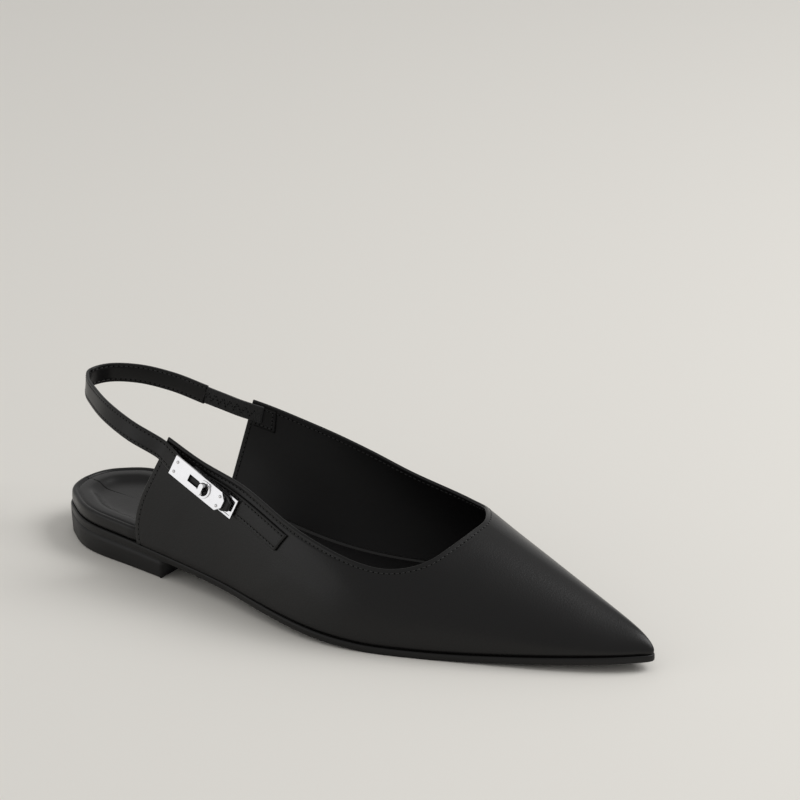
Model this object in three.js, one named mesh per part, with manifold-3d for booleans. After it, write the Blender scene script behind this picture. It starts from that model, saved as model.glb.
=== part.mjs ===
// Right slingback shoe: pointed toe, low block heel, back strap with an elastic and a turn-lock clasp.
// Millimetres. +X runs from the heel to the toe tip, +Y is the medial side, +Z is up.
// The origin is the middle of the heel block's foot, on the floor.

import * as THREE from "three";
import { mergeVertices } from "three/addons/utils/BufferGeometryUtils.js";
import Module from "manifold-3d";

// Sole and heel
const SOLE_LENGTH = 272;
const BALL_WIDTH = 81;
const SOLE_THICKNESS = 2.8;
const HEEL_HEIGHT = 9.7;
const HEEL_LENGTH = 65;
const HEEL_TAPER = 0.6;
const TOE_SPRING = 4;

// Last and upper
const INSTEP_RISE = 100;
const WALL = 1.4;
const FEATHER_INSET = 0.9;
const CLEARANCE = 0.3;

// Insole, a wrapped footbed with a dished seat
const SEAT_HEIGHT = 5.6;
const FORE_HEIGHT = 3;
const SEAT_INSET = 1;
const SEAT_DISH = 2.8;
const SEAT_RIM = 8;
const BEAD_WIDTH = 2.2;

// Back strap and elastic
const STRAP_WIDTH = 8;
const STRAP_THICKNESS = 1.4;
const STRAP_REACH = 64;
const STRAP_HEIGHT = 59;
const STRAP_TAIL = 2.2;
const ELASTIC_WIDTH = 7;
const ELASTIC_THICKNESS = 1.2;
const PATCH_LENGTH = 10;
const PATCH_WIDTH = 9;
const PATCH_THICKNESS = 1.2;

// Clasp: leather tab, base plate, top plate and turn knob
const TAB_LENGTH = 46.6;
const TAB_WIDTH = 8.8;
const TAB_THICKNESS = 1;
const TAB_TUCK = 7;
const TAB_SLANT = 0.05;
const PLATE_LENGTH = 30;
const PLATE_WIDTH = 8.2;
const PLATE_THICKNESS = 0.8;
const PLATE_CHAMFER = 2.5;
const BASE_LENGTH = 26;
const BASE_THICKNESS = 0.5;
const BASE_RIM = 0.8;
const BASE_RIM_RISE = 0.3;
const BASE_AHEAD = 4.2;
const POST_FROM_BACK = 18.9;
const SLOT_LENGTH = 9.1;
const SLOT_WIDTH = 3;
const COLLAR_RADIUS = 3.7;
const COLLAR_HOLE = 2.7;
const COLLAR_RISE = 0.5;
const STEM_RADIUS = 1;
const KNOB_LENGTH = 5;
const KNOB_WIDTH = 2.1;
const KNOB_THICKNESS = 1.6;
const KNOB_LIFT = 0.6;
const RIVET_RADIUS = 0.7;
const RIVET_MARGIN = 2;

const HEEL_BACK = -HEEL_LENGTH / 2;
const HEEL_SHARE = HEEL_LENGTH / SOLE_LENGTH;

// Sole outline: place along the length, then each edge from the axis as a share of the ball width
const OUTLINE = [
  { at: 0, lateral: 0.031, medial: 0.031 },
  { at: 0.01, lateral: -0.1173, medial: 0.1886 },
  { at: 0.03, lateral: -0.1877, medial: 0.2665 },
  { at: 0.06, lateral: -0.2665, medial: 0.3331 },
  { at: 0.1, lateral: -0.3209, medial: 0.3472 },
  { at: 0.14, lateral: -0.3434, medial: 0.3331 },
  { at: 0.18, lateral: -0.3631, medial: 0.3068 },
  { at: 0.22, lateral: -0.3852, medial: 0.274 },
  { at: 0.27, lateral: -0.4119, medial: 0.2411 },
  { at: 0.32, lateral: -0.4386, medial: 0.2177 },
  { at: 0.37, lateral: -0.4729, medial: 0.2092 },
  { at: 0.42, lateral: -0.5193, medial: 0.2252 },
  { at: 0.47, lateral: -0.563, medial: 0.2646 },
  { at: 0.52, lateral: -0.5935, medial: 0.3143 },
  { at: 0.57, lateral: -0.601, medial: 0.38 },
  { at: 0.62, lateral: -0.5784, medial: 0.425 },
  { at: 0.67, lateral: -0.5329, medial: 0.4185 },
  { at: 0.72, lateral: -0.4748, medial: 0.3772 },
  { at: 0.77, lateral: -0.4124, medial: 0.3303 },
  { at: 0.82, lateral: -0.3481, medial: 0.2815 },
  { at: 0.87, lateral: -0.281, medial: 0.2289 },
  { at: 0.92, lateral: -0.2031, medial: 0.167 },
  { at: 0.96, lateral: -0.1271, medial: 0.1051 },
  { at: 0.98, lateral: -0.0779, medial: 0.0657 },
  { at: 1, lateral: 0, medial: 0 },
];

// Sections of the last. rise is the ridge over the feather line as a share of the instep rise, ridge its
// side shift as a share of the ball width. The leans are degrees outwards from upright at the feather
// line, side and top are how far the wall and the crown stay full.
const SECTIONS = [
  { at: 0.12, rise: 0.91, ridge: 0.165, leanLateral: -8.6, leanMedial: 2.4, side: 0.87, top: 0.3 },
  { at: 0.2, rise: 0.876, ridge: 0.172, leanLateral: -9.9, leanMedial: 14.9, side: 0.91, top: 0.3 },
  { at: 0.28, rise: 0.834, ridge: 0.171, leanLateral: -11, leanMedial: 26, side: 0.95, top: 0.3 },
  { at: 0.38, rise: 0.751, ridge: 0.163, leanLateral: -11.2, leanMedial: 33.5, side: 0.97, top: 0.3 },
  { at: 0.48, rise: 0.635, ridge: 0.136, leanLateral: -9.5, leanMedial: 32, side: 0.93, top: 0.3 },
  { at: 0.58, rise: 0.524, ridge: 0.098, leanLateral: -4.5, leanMedial: 24.5, side: 0.86, top: 0.3 },
  { at: 0.68, rise: 0.419, ridge: 0.061, leanLateral: 0.5, leanMedial: 19, side: 0.79, top: 0.34 },
  { at: 0.78, rise: 0.306, ridge: 0.046, leanLateral: 4.5, leanMedial: 18.5, side: 0.715, top: 0.39 },
  { at: 0.87, rise: 0.195, ridge: 0.04, leanLateral: 7, leanMedial: 15, side: 0.63, top: 0.41 },
  { at: 0.94, rise: 0.111, ridge: 0.033, leanLateral: 8, leanMedial: 10, side: 0.56, top: 0.42 },
  { at: 0.98, rise: 0.063, ridge: 0.016, leanLateral: 6, leanMedial: 6.5, side: 0.5, top: 0.44 },
  { at: 1, rise: 0, ridge: 0, leanLateral: 3.5, leanMedial: 3, side: 0.45, top: 0.46 },
];

// Top line from the lateral back corner over the throat to the medial back corner. around runs over the
// section from the lateral feather line at 0, over the ridge at 0.5, to the medial feather line at 1.
const TOP_LINE = [
  { at: 0.225, around: 0.12 },
  { at: 0.3, around: 0.1092 },
  { at: 0.3775, around: 0.1121 },
  { at: 0.4565, around: 0.1164 },
  { at: 0.5364, around: 0.1296 },
  { at: 0.6088, around: 0.1471 },
  { at: 0.6673, around: 0.1928 },
  { at: 0.7001, around: 0.2935 },
  { at: 0.7112, around: 0.4177 },
  { at: 0.7042, around: 0.5808 },
  { at: 0.675, around: 0.71 },
  { at: 0.613, around: 0.802 },
  { at: 0.5468, around: 0.8261 },
  { at: 0.4715, around: 0.8395 },
  { at: 0.394, around: 0.8541 },
  { at: 0.319, around: 0.8665 },
  { at: 0.245, around: 0.872 },
];

// Where the back edges of the quarters meet the feather line
const QUARTER_FOOT_LATERAL = 0.188;
const QUARTER_FOOT_MEDIAL = 0.217;

// How far the lateral back edge bows to the heel, and how low its fullest place is
const QUARTER_SWEEP = 0.068;
const QUARTER_SWEEP_FALL = 2.7;

// Free run of the strap behind the quarters: forward is a share of the strap's reach from its back,
// side a share of the ball width, height a share of the strap's height, lean the degrees that the top
// edge tips inwards.
const STRAP_RUN = [
  { forward: 0.7, side: -0.272, height: 0.952, lean: 20 },
  { forward: 0.436, side: -0.187, height: 0.99, lean: 17 },
  { forward: 0.225, side: -0.073, height: 1, lean: 11 },
  { forward: 0.071, side: 0.0338, height: 1.003, lean: 6 },
  { forward: 0, side: 0.1323, height: 1.005, lean: 2 },
  { forward: 0.055, side: 0.2318, height: 1.012, lean: -2 },
  { forward: 0.234, side: 0.304, height: 1.012, lean: -5 },
  { forward: 0.466, side: 0.3481, height: 0.982, lean: -8 },
  { forward: 0.706, side: 0.364, height: 0.934, lean: -10 },
];
const STRAP_BACK = HEEL_BACK - 1;

// The clasp lies on the lateral quarter, its post at this place and its long axis this far below level
const CLASP_AT = 0.3216;
const CLASP_AROUND = 0.0855;
const CLASP_PITCH = THREE.MathUtils.degToRad(18);

const wasm = await Module();
wasm.setup();

// Even steps of this angle bunch the stations up at both round ends of the shoe
const stationAngle = (at) => Math.acos(THREE.MathUtils.clamp(1 - 2 * at, -1, 1));
const stationShare = (angle) => (1 - Math.cos(angle)) / 2;

const ease = (from, to, value) => {
  const share = THREE.MathUtils.clamp((value - from) / (to - from), 0, 1);
  return share * share * (3 - 2 * share);
};

// Natural cubic spline through one column of a table, over the given abscissa
function splineOf(places, values) {
  const count = places.length;
  const bend = new Array(count).fill(0);
  const carry = new Array(count).fill(0);
  for (let i = 1; i < count - 1; i++) {
    const before = places[i] - places[i - 1];
    const after = places[i + 1] - places[i];
    const turn = (values[i + 1] - values[i]) / after - (values[i] - values[i - 1]) / before;
    const pivot = 2 * (before + after) - before * carry[i - 1];
    carry[i] = after / pivot;
    bend[i] = (6 * turn - before * bend[i - 1]) / pivot;
  }
  for (let i = count - 2; i > 0; i--) bend[i] -= carry[i] * bend[i + 1];
  return (place) => {
    let i = 0;
    while (i < count - 2 && place > places[i + 1]) i++;
    const span = places[i + 1] - places[i];
    const b = (place - places[i]) / span;
    const a = 1 - b;
    const curve = ((a * a * a - a) * bend[i] + (b * b * b - b) * bend[i + 1]) * ((span * span) / 6);
    return a * values[i] + b * values[i + 1] + curve;
  };
}

function column(rows, name) {
  const curve = splineOf(rows.map((row) => stationAngle(row.at)), rows.map((row) => row[name]));
  return (at) => curve(stationAngle(at));
}

const outlineShare = { lateral: column(OUTLINE, "lateral"), medial: column(OUTLINE, "medial") };
const section = {};
for (const name of ["rise", "ridge", "leanLateral", "leanMedial", "side", "top"]) {
  section[name] = column(SECTIONS, name);
}

const lengthAt = (at) => HEEL_BACK + SOLE_LENGTH * at;
const outlineSide = (at, side) => BALL_WIDTH * outlineShare[side](at);

// Underside of the sole: down from the seat through the arch, level at the ball, up to the toe
const ARCH_END = 0.64;
const ARCH_FALL = 1.4;
const SPRING_START = 0.7;
const soleUnder = (at) =>
  HEEL_HEIGHT * Math.max(0, 1 - (at / ARCH_END) ** 2) ** ARCH_FALL
  + TOE_SPRING * ease(SPRING_START, 1.02, at);
const featherHeight = (at) => soleUnder(at) + SOLE_THICKNESS + CLEARANCE;

// Point of the upper's outer face. The place is given in a half plane that is round the toe tip: its
// distance from the tip is the root of the share of length left, its angle runs over the section.
function lastPoint(across, up) {
  const reach = Math.hypot(across, up);
  const at = 1 - reach * reach;
  const around = reach > 0 ? Math.atan2(up, across) / Math.PI : 0.5;
  const lateral = around <= 0.5;
  const outwards = lateral ? -1 : 1;
  const t = lateral ? 2 * around : 2 - 2 * around;
  const inset = FEATHER_INSET * ease(0.3, 0.6, at) * Math.min(1, reach / 0.12);
  const footY = outlineSide(at, lateral ? "lateral" : "medial") - outwards * inset;
  const footZ = featherHeight(at);
  const rise = INSTEP_RISE * section.rise(at);
  const ridgeY = BALL_WIDTH * section.ridge(at);
  const lean = THREE.MathUtils.degToRad(section[lateral ? "leanLateral" : "leanMedial"](at));
  const wall = section.side(at) * rise;
  const curve = new THREE.CubicBezierCurve(
    new THREE.Vector2(footY, footZ),
    new THREE.Vector2(footY + outwards * wall * Math.sin(lean), footZ + wall * Math.cos(lean)),
    new THREE.Vector2(ridgeY + section.top(at) * (footY - ridgeY), footZ + rise),
    new THREE.Vector2(ridgeY, footZ + rise),
  );
  const point = curve.getPoint(t);
  return new THREE.Vector3(lengthAt(at), point.x, point.y);
}

const planeOf = (at, around) => {
  const reach = Math.sqrt(1 - at);
  return { across: reach * Math.cos(Math.PI * around), up: reach * Math.sin(Math.PI * around) };
};

const NUDGE = 1e-4;

// Outward normal of the upper's face at a place of the half plane
function lastNormal(across, up) {
  const along = lastPoint(across + NUDGE, up).sub(lastPoint(across - NUDGE, up));
  const over = lastPoint(across, up + NUDGE).sub(lastPoint(across, Math.max(0, up - NUDGE)));
  return over.cross(along).normalize();
}

// Point at a share of length and a share around the section, stood out from the upper's outer face
function onUpper(at, around, out) {
  const place = planeOf(at, around);
  const point = lastPoint(place.across, place.up);
  return point.addScaledVector(lastNormal(place.across, place.up), out);
}

// Share around the section where the outer face reaches a height, on one side
function aroundAtHeight(at, side, height) {
  let low = side === "lateral" ? 0 : 1;
  let high = 0.5;
  for (let i = 0; i < 40; i++) {
    const middle = (low + high) / 2;
    if (onUpper(at, middle, 0).z < height) low = middle;
    else high = middle;
  }
  return (low + high) / 2;
}

// Closed solid from its vertices and triangles
function solidGeometry(points, triangles) {
  const geometry = new THREE.BufferGeometry().setFromPoints(points);
  geometry.setIndex(triangles);
  geometry.computeVertexNormals();
  return geometry;
}

// Closed solid between two grids of points, face[i][j] and back[i][j], joined round their four edges.
// Seen from the face's side, i runs to the right and j runs up.
function slab(face, back) {
  const rows = face.length;
  const columns = face[0].length;
  const points = [...face.flat(), ...back.flat()];
  const faceIndex = (i, j) => i * columns + j;
  const backIndex = (i, j) => rows * columns + i * columns + j;
  const triangles = [];
  const quad = (a, b, c, d) => triangles.push(a, b, c, a, c, d);
  for (let i = 0; i < rows - 1; i++) {
    for (let j = 0; j < columns - 1; j++) {
      quad(faceIndex(i, j), faceIndex(i + 1, j), faceIndex(i + 1, j + 1), faceIndex(i, j + 1));
      quad(backIndex(i, j), backIndex(i, j + 1), backIndex(i + 1, j + 1), backIndex(i + 1, j));
    }
    quad(faceIndex(i, 0), backIndex(i, 0), backIndex(i + 1, 0), faceIndex(i + 1, 0));
    const last = columns - 1;
    quad(faceIndex(i, last), faceIndex(i + 1, last), backIndex(i + 1, last), backIndex(i, last));
  }
  for (let j = 0; j < columns - 1; j++) {
    const last = rows - 1;
    quad(faceIndex(0, j), faceIndex(0, j + 1), backIndex(0, j + 1), backIndex(0, j));
    quad(faceIndex(last, j), backIndex(last, j), backIndex(last, j + 1), faceIndex(last, j + 1));
  }
  return solidGeometry(points, triangles);
}

// Closed solid from a stack of loops. A loop starts at the back point, goes up the lateral side and
// comes back down the medial side; strips across close the first and the last loop.
function stack(loops) {
  const count = loops[0].length;
  const points = loops.flat();
  const triangles = [];
  const strip = (level, upwards) => {
    const index = (k) => level * count + (k % count);
    for (let k = 0; k < count - k - 1; k++) {
      const corners = [k, k + 1, count - k - 1, count - k];
      const [a, b, c, d] = corners.map(index);
      const faces = [[a, b, c], [a, c, d]];
      for (const face of faces) {
        if (new Set(face).size < 3) continue;
        triangles.push(...(upwards ? face : face.reverse()));
      }
    }
  };
  strip(0, false);
  for (let level = 0; level < loops.length - 1; level++) {
    for (let k = 0; k < count; k++) {
      const next = (k + 1) % count;
      const low = level * count;
      const high = low + count;
      triangles.push(low + k, low + next, high + next, low + k, high + next, high + k);
    }
  }
  strip(loops.length - 1, true);
  return solidGeometry(points, triangles);
}

// Loop of shares of length with the side they lie on: once at the back, and at the front once when the
// loop ends in a tip, or on both sides when it is cut straight
function loopPlaces(end, steps) {
  const endAngle = stationAngle(end);
  const shares = [];
  for (let i = 0; i <= steps; i++) shares.push(stationShare((endAngle * i) / steps));
  shares[steps] = end;
  const lateral = shares.map((at) => ({ at, side: "lateral" }));
  const medial = shares.slice(1, end < 1 ? undefined : -1).map((at) => ({ at, side: "medial" }));
  return [...lateral, ...medial.reverse()];
}

const SOLE_STEPS = 60;

function outsole() {
  const places = loopPlaces(1, SOLE_STEPS);
  const level = (lift) =>
    places.map(({ at, side }) =>
      new THREE.Vector3(lengthAt(at), outlineSide(at, side), soleUnder(at) + lift));
  return stack([level(0), level(SOLE_THICKNESS)]);
}

const HEEL_STEPS = 22;

// Heel block: its foot is drawn in by the taper and its top follows the sole's underside
function heel() {
  const places = loopPlaces(HEEL_SHARE, HEEL_STEPS);
  const narrow = 1 - (2 * HEEL_TAPER) / HEEL_LENGTH;
  const point = ({ at, side }) => new THREE.Vector3(lengthAt(at), outlineSide(at, side), 0);
  const foot = places.map((place) => point(place).multiplyScalar(narrow));
  const top = places.map((place) => point(place).setZ(soleUnder(place.at) - CLEARANCE));
  return stack([foot, top]);
}

const INSOLE_STEPS = 48;
const INSOLE_END = 0.93;
const INSOLE_ROOM = 0.15;

// Side of the insole at a height over the feather line: the sole's outline drawn in at the open seat,
// and the inner face of the upper, less the clearance, from the quarter's back edge on
function insoleSide(at, side, rise) {
  const outwards = side === "lateral" ? -1 : 1;
  const seat = outlineSide(at, side) - outwards * SEAT_INSET;
  const foot = side === "lateral" ? QUARTER_FOOT_LATERAL : QUARTER_FOOT_MEDIAL;
  const under = ease(foot - 0.02, foot - 0.002, at);
  if (under === 0) return seat;
  const around = aroundAtHeight(at, side, featherHeight(at) + rise);
  const outer = onUpper(at, around, 0);
  const lean = Math.abs(onUpper(at, around, 1).sub(outer).y);
  const wall = outer.y - (outwards * (WALL + CLEARANCE + INSOLE_ROOM)) / lean;
  return THREE.MathUtils.lerp(seat, wall, under);
}

function insole() {
  const places = loopPlaces(INSOLE_END, INSOLE_STEPS);
  const height = (at) => THREE.MathUtils.lerp(SEAT_HEIGHT, FORE_HEIGHT, ease(0.3, 0.5, at));
  const dish = (at) => SEAT_DISH * (1 - ease(0.28, 0.46, at));
  const backRadius = (outlineSide(0.1, "medial") - outlineSide(0.1, "lateral")) / 2;
  const spineStart = HEEL_BACK + backRadius;
  const spineEnd = lengthAt(INSOLE_END) - FORE_HEIGHT;
  // inset from the side, height as a share of the full height, then a drop and the share of the dish
  const profile = [
    { inset: 0.5, share: 0, drop: 0, dished: 0 },
    { inset: 0, share: 0.18, drop: 0, dished: 0 },
    { inset: 0, share: 0.7, drop: 0, dished: 0 },
    { inset: 0.35, share: 0.93, drop: 0, dished: 0 },
    { inset: BEAD_WIDTH / 2, share: 1, drop: 0, dished: 0 },
    { inset: BEAD_WIDTH, share: 1, drop: 0.35, dished: 0 },
    { inset: BEAD_WIDTH + 0.5, share: 1, drop: 0.6, dished: 0 },
    { inset: BEAD_WIDTH + 1.3, share: 1, drop: 0.3, dished: 0 },
    { inset: SEAT_RIM, share: 1, drop: 0.3, dished: 0 },
    { inset: SEAT_RIM + 1.6, share: 1, drop: 0.3, dished: 0.35 },
    { inset: SEAT_RIM + 4, share: 1, drop: 0.3, dished: 0.85 },
    { inset: SEAT_RIM + 8, share: 1, drop: 0.3, dished: 1 },
    { inset: BALL_WIDTH, share: 1, drop: 0.3, dished: 1.05 },
  ];
  const loops = profile.map(({ inset, share, drop, dished }) =>
    places.map(({ at, side }) => {
      const full = height(at);
      const rise = Math.max(0, full * share - drop - dish(at) * dished);
      const edge = new THREE.Vector2(lengthAt(at), insoleSide(at, side, full * Math.min(share, 1)));
      const middle = (outlineSide(at, "lateral") + outlineSide(at, "medial")) / 2;
      const spineX = THREE.MathUtils.clamp(edge.x, spineStart, spineEnd);
      const spine = new THREE.Vector2(spineX, middle);
      const room = edge.distanceTo(spine);
      const step = room * Math.tanh(inset / room);
      edge.lerp(spine, step / room);
      const seatAt = (edge.x - HEEL_BACK) / SOLE_LENGTH;
      return new THREE.Vector3(edge.x, edge.y, featherHeight(seatAt) + rise);
    }));
  return stack(loops);
}

// Top line as a curve in the half plane, from the lateral back corner to the medial one, over its length
const topLinePlane = TOP_LINE.map((row) => planeOf(row.at, row.around));
const topLineRuns = [0];
for (let i = 1; i < topLinePlane.length; i++) {
  const across = topLinePlane[i].across - topLinePlane[i - 1].across;
  const up = topLinePlane[i].up - topLinePlane[i - 1].up;
  topLineRuns.push(topLineRuns[i - 1] + Math.hypot(across, up));
}
const topLineLength = topLineRuns[topLineRuns.length - 1];
const topLineAcross = splineOf(topLineRuns, topLinePlane.map((place) => place.across));
const topLineUp = splineOf(topLineRuns, topLinePlane.map((place) => place.up));

const UPPER_ALONG = 84;
const UPPER_RISE = 14;

// Place of the upper's grid in the half plane: along the shoe from the lateral back edge round the toe
// to the medial one, and up from the feather line at 0 to the top line at 1
function upperPlace(along, up) {
  const start = Math.sqrt(1 - QUARTER_FOOT_LATERAL);
  const end = -Math.sqrt(1 - QUARTER_FOOT_MEDIAL);
  const footAcross = THREE.MathUtils.lerp(start, end, along);
  const run = along * topLineLength;
  const top = { across: topLineAcross(run), up: topLineUp(run) };
  // straight rulings serve the toe, rulings that follow the sections serve the quarters
  const straight = { across: THREE.MathUtils.lerp(footAcross, top.across, up), up: top.up * up };
  const footAngle = footAcross > 0 ? 0 : Math.PI;
  const topReach = Math.hypot(top.across, top.up);
  const bow = QUARTER_SWEEP * ease(0.72, 0.9, footAcross) * up * (1 - up) ** QUARTER_SWEEP_FALL;
  const reach = THREE.MathUtils.lerp(Math.abs(footAcross), topReach, up) + bow;
  const angle = THREE.MathUtils.lerp(footAngle, Math.atan2(top.up, top.across), up);
  const share = ease(0.3, 0.75, Math.abs(footAcross));
  return {
    across: THREE.MathUtils.lerp(straight.across, reach * Math.cos(angle), share),
    up: THREE.MathUtils.lerp(straight.up, reach * Math.sin(angle), share),
  };
}

function upper() {
  const outer = [];
  const inner = [];
  for (let i = 0; i <= UPPER_ALONG; i++) {
    outer.push([]);
    inner.push([]);
    for (let j = 0; j <= UPPER_RISE; j++) {
      const place = upperPlace(i / UPPER_ALONG, j / UPPER_RISE);
      const point = lastPoint(place.across, place.up);
      const normal = lastNormal(place.across, place.up);
      if (j === 0) normal.setZ(0).normalize();
      outer[i].push(point);
      inner[i].push(point.clone().addScaledVector(normal, -WALL));
    }
  }
  return slab(outer, inner);
}

// Frame of the clasp on the lateral quarter: along its length to the toe, across it upwards, and out
const claspFoot = onUpper(CLASP_AT, CLASP_AROUND, 0);
const claspOut = onUpper(CLASP_AT, CLASP_AROUND, 1).sub(claspFoot);
const claspLevel = new THREE.Vector3(0, 0, 1).cross(claspOut).normalize();
const claspAlong = claspLevel.clone().applyAxisAngle(claspOut, -CLASP_PITCH);
const claspAcross = claspOut.clone().cross(claspAlong);
const claspFrame = new THREE.Matrix4().makeBasis(claspAlong, claspAcross, claspOut);
claspFrame.setPosition(claspFoot);
const claspPoint = (along, across, out) =>
  new THREE.Vector3(along, across, out).applyMatrix4(claspFrame);

// Heights of the clasp's layers over the quarter's outer face, with room for the quarter's hollow curve
const CLASP_STAND = 0.45;
const BASE_BOTTOM = TAB_THICKNESS + 2 * CLEARANCE + CLASP_STAND;
const STRAP_BOTTOM = BASE_BOTTOM + BASE_THICKNESS + BASE_RIM_RISE + CLEARANCE;
const PLATE_BOTTOM = STRAP_BOTTOM + STRAP_THICKNESS + CLEARANCE;
const PLATE_TOP = PLATE_BOTTOM + PLATE_THICKNESS;
const PLATE_BACK = -POST_FROM_BACK;
const PLATE_FRONT = PLATE_BACK + PLATE_LENGTH;
const STRAP_END = PLATE_FRONT + STRAP_TAIL;

function manifoldOf(geometry) {
  const bare = geometry.clone();
  for (const name of ["normal", "uv"]) bare.deleteAttribute(name);
  const merged = mergeVertices(bare, 1e-4);
  const vertProperties = new Float32Array(merged.attributes.position.array);
  const triVerts = new Uint32Array(merged.index.array);
  return new wasm.Manifold(new wasm.Mesh({ numProp: 3, vertProperties, triVerts }));
}

function geometryOf(solid) {
  const mesh = solid.getMesh();
  const geometry = new THREE.BufferGeometry();
  geometry.setAttribute("position", new THREE.BufferAttribute(mesh.vertProperties, 3));
  geometry.setIndex(new THREE.BufferAttribute(mesh.triVerts, 1));
  geometry.computeVertexNormals();
  return geometry;
}

const cut = (body, ...tools) =>
  geometryOf(tools.reduce((rest, tool) => rest.subtract(manifoldOf(tool)), manifoldOf(body)));
const join = (first, second) => geometryOf(manifoldOf(first).add(manifoldOf(second)));

// Plate outline extruded outwards from a height of the clasp's frame, in that frame
function plate(shape, bottom, thickness) {
  const options = { depth: thickness, bevelEnabled: false, curveSegments: 10 };
  return new THREE.ExtrudeGeometry(shape, options).translate(0, 0, bottom);
}

// Rectangle with chamfered front corners
function chamferedShape(back, front, width, chamfer) {
  const half = width / 2;
  const corners = [
    [back, -half],
    [front - chamfer, -half],
    [front, -half + chamfer],
    [front, half - chamfer],
    [front - chamfer, half],
    [back, half],
  ];
  return new THREE.Shape(corners.map(([x, y]) => new THREE.Vector2(x, y)));
}

function rectangleShape(back, front, width) {
  const half = width / 2;
  const corners = [[back, -half], [front, -half], [front, half], [back, half]];
  return new THREE.Shape(corners.map(([x, y]) => new THREE.Vector2(x, y)));
}

// Keyhole round the post: a round hole with a slot that runs to the back
function keyhole(bottom, thickness, room) {
  const half = SLOT_WIDTH / 2 + room;
  const radius = COLLAR_HOLE + room;
  const slotAngle = Math.asin(half / radius);
  const shape = new THREE.Shape();
  shape.moveTo(-SLOT_LENGTH - room, -half);
  shape.lineTo(-radius * Math.cos(slotAngle), -half);
  shape.absarc(0, 0, radius, Math.PI + slotAngle, 3 * Math.PI - slotAngle, false);
  shape.lineTo(-SLOT_LENGTH - room, half);
  return plate(shape, bottom - thickness, 3 * thickness);
}

const RIVET_PLACES = [
  { name: "rivet_back_low", along: PLATE_BACK + RIVET_MARGIN, side: -1 },
  { name: "rivet_back_high", along: PLATE_BACK + RIVET_MARGIN, side: 1 },
  { name: "rivet_front_low", along: PLATE_FRONT - PLATE_CHAMFER, side: -1 },
  { name: "rivet_front_high", along: PLATE_FRONT - PLATE_CHAMFER, side: 1 },
];
const rivetAcross = (side) => side * (PLATE_WIDTH / 2 - RIVET_MARGIN);
const RIVET_SHANK = RIVET_RADIUS * 0.6;
const RIVET_SEAT = 0.02;

function claspPlate() {
  const outline = chamferedShape(PLATE_BACK, PLATE_FRONT, PLATE_WIDTH, PLATE_CHAMFER);
  const body = plate(outline, PLATE_BOTTOM, PLATE_THICKNESS);
  const ring = new THREE.CylinderGeometry(
    COLLAR_RADIUS - COLLAR_RISE / 2, COLLAR_RADIUS, COLLAR_RISE + PLATE_THICKNESS / 2, 32);
  ring.rotateX(Math.PI / 2).translate(0, 0, PLATE_TOP - PLATE_THICKNESS / 4 + COLLAR_RISE / 2);
  const holes = RIVET_PLACES.map(({ along, side }) => {
    const hole = new THREE.CylinderGeometry(RIVET_SHANK + 0.1, RIVET_SHANK + 0.1, 4, 12);
    return hole.rotateX(Math.PI / 2).translate(along, rivetAcross(side), PLATE_TOP);
  });
  return cut(join(body, ring), keyhole(PLATE_BOTTOM, PLATE_THICKNESS + COLLAR_RISE, 0), ...holes);
}

function rivet(along, side) {
  const top = PLATE_TOP + RIVET_SEAT;
  const profile = [new THREE.Vector2(0, PLATE_BOTTOM), new THREE.Vector2(RIVET_SHANK, PLATE_BOTTOM)];
  profile.push(new THREE.Vector2(RIVET_SHANK, top), new THREE.Vector2(RIVET_RADIUS, top));
  const steps = 4;
  for (let i = 1; i < steps; i++) {
    const angle = (Math.PI / 2) * (i / steps);
    const height = top + RIVET_RADIUS * 0.6 * Math.sin(angle);
    profile.push(new THREE.Vector2(RIVET_RADIUS * Math.cos(angle), height));
  }
  profile.push(new THREE.Vector2(0, top + RIVET_RADIUS * 0.6));
  const geometry = new THREE.LatheGeometry(profile, 12);
  return geometry.rotateX(Math.PI / 2).translate(along, rivetAcross(side), 0);
}

function claspBase() {
  const front = PLATE_FRONT + BASE_AHEAD;
  const back = front - BASE_LENGTH;
  const field = plate(rectangleShape(back, front, PLATE_WIDTH), BASE_BOTTOM, BASE_THICKNESS);
  const rimShape = rectangleShape(back, front, PLATE_WIDTH);
  const opening = rectangleShape(back + BASE_RIM, front - BASE_RIM, PLATE_WIDTH - 2 * BASE_RIM);
  rimShape.holes.push(opening);
  const rim = plate(rimShape, BASE_BOTTOM, BASE_THICKNESS + BASE_RIM_RISE);
  return join(field, rim);
}

function turnKnob() {
  const bottom = BASE_BOTTOM + BASE_THICKNESS + CLEARANCE;
  const barBottom = PLATE_TOP + COLLAR_RISE + KNOB_LIFT;
  const stemHeight = barBottom - bottom + KNOB_THICKNESS / 2;
  const stem = new THREE.CylinderGeometry(STEM_RADIUS, STEM_RADIUS, stemHeight, 24);
  stem.rotateX(Math.PI / 2).translate(0, 0, bottom + stemHeight / 2);
  const shape = new THREE.Shape();
  const centre = (KNOB_LENGTH - KNOB_WIDTH) / 2;
  shape.absarc(0, centre, KNOB_WIDTH / 2, 0, Math.PI, false);
  shape.absarc(0, -centre, KNOB_WIDTH / 2, Math.PI, 2 * Math.PI, false);
  return join(plate(shape, barBottom, KNOB_THICKNESS), stem);
}

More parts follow.
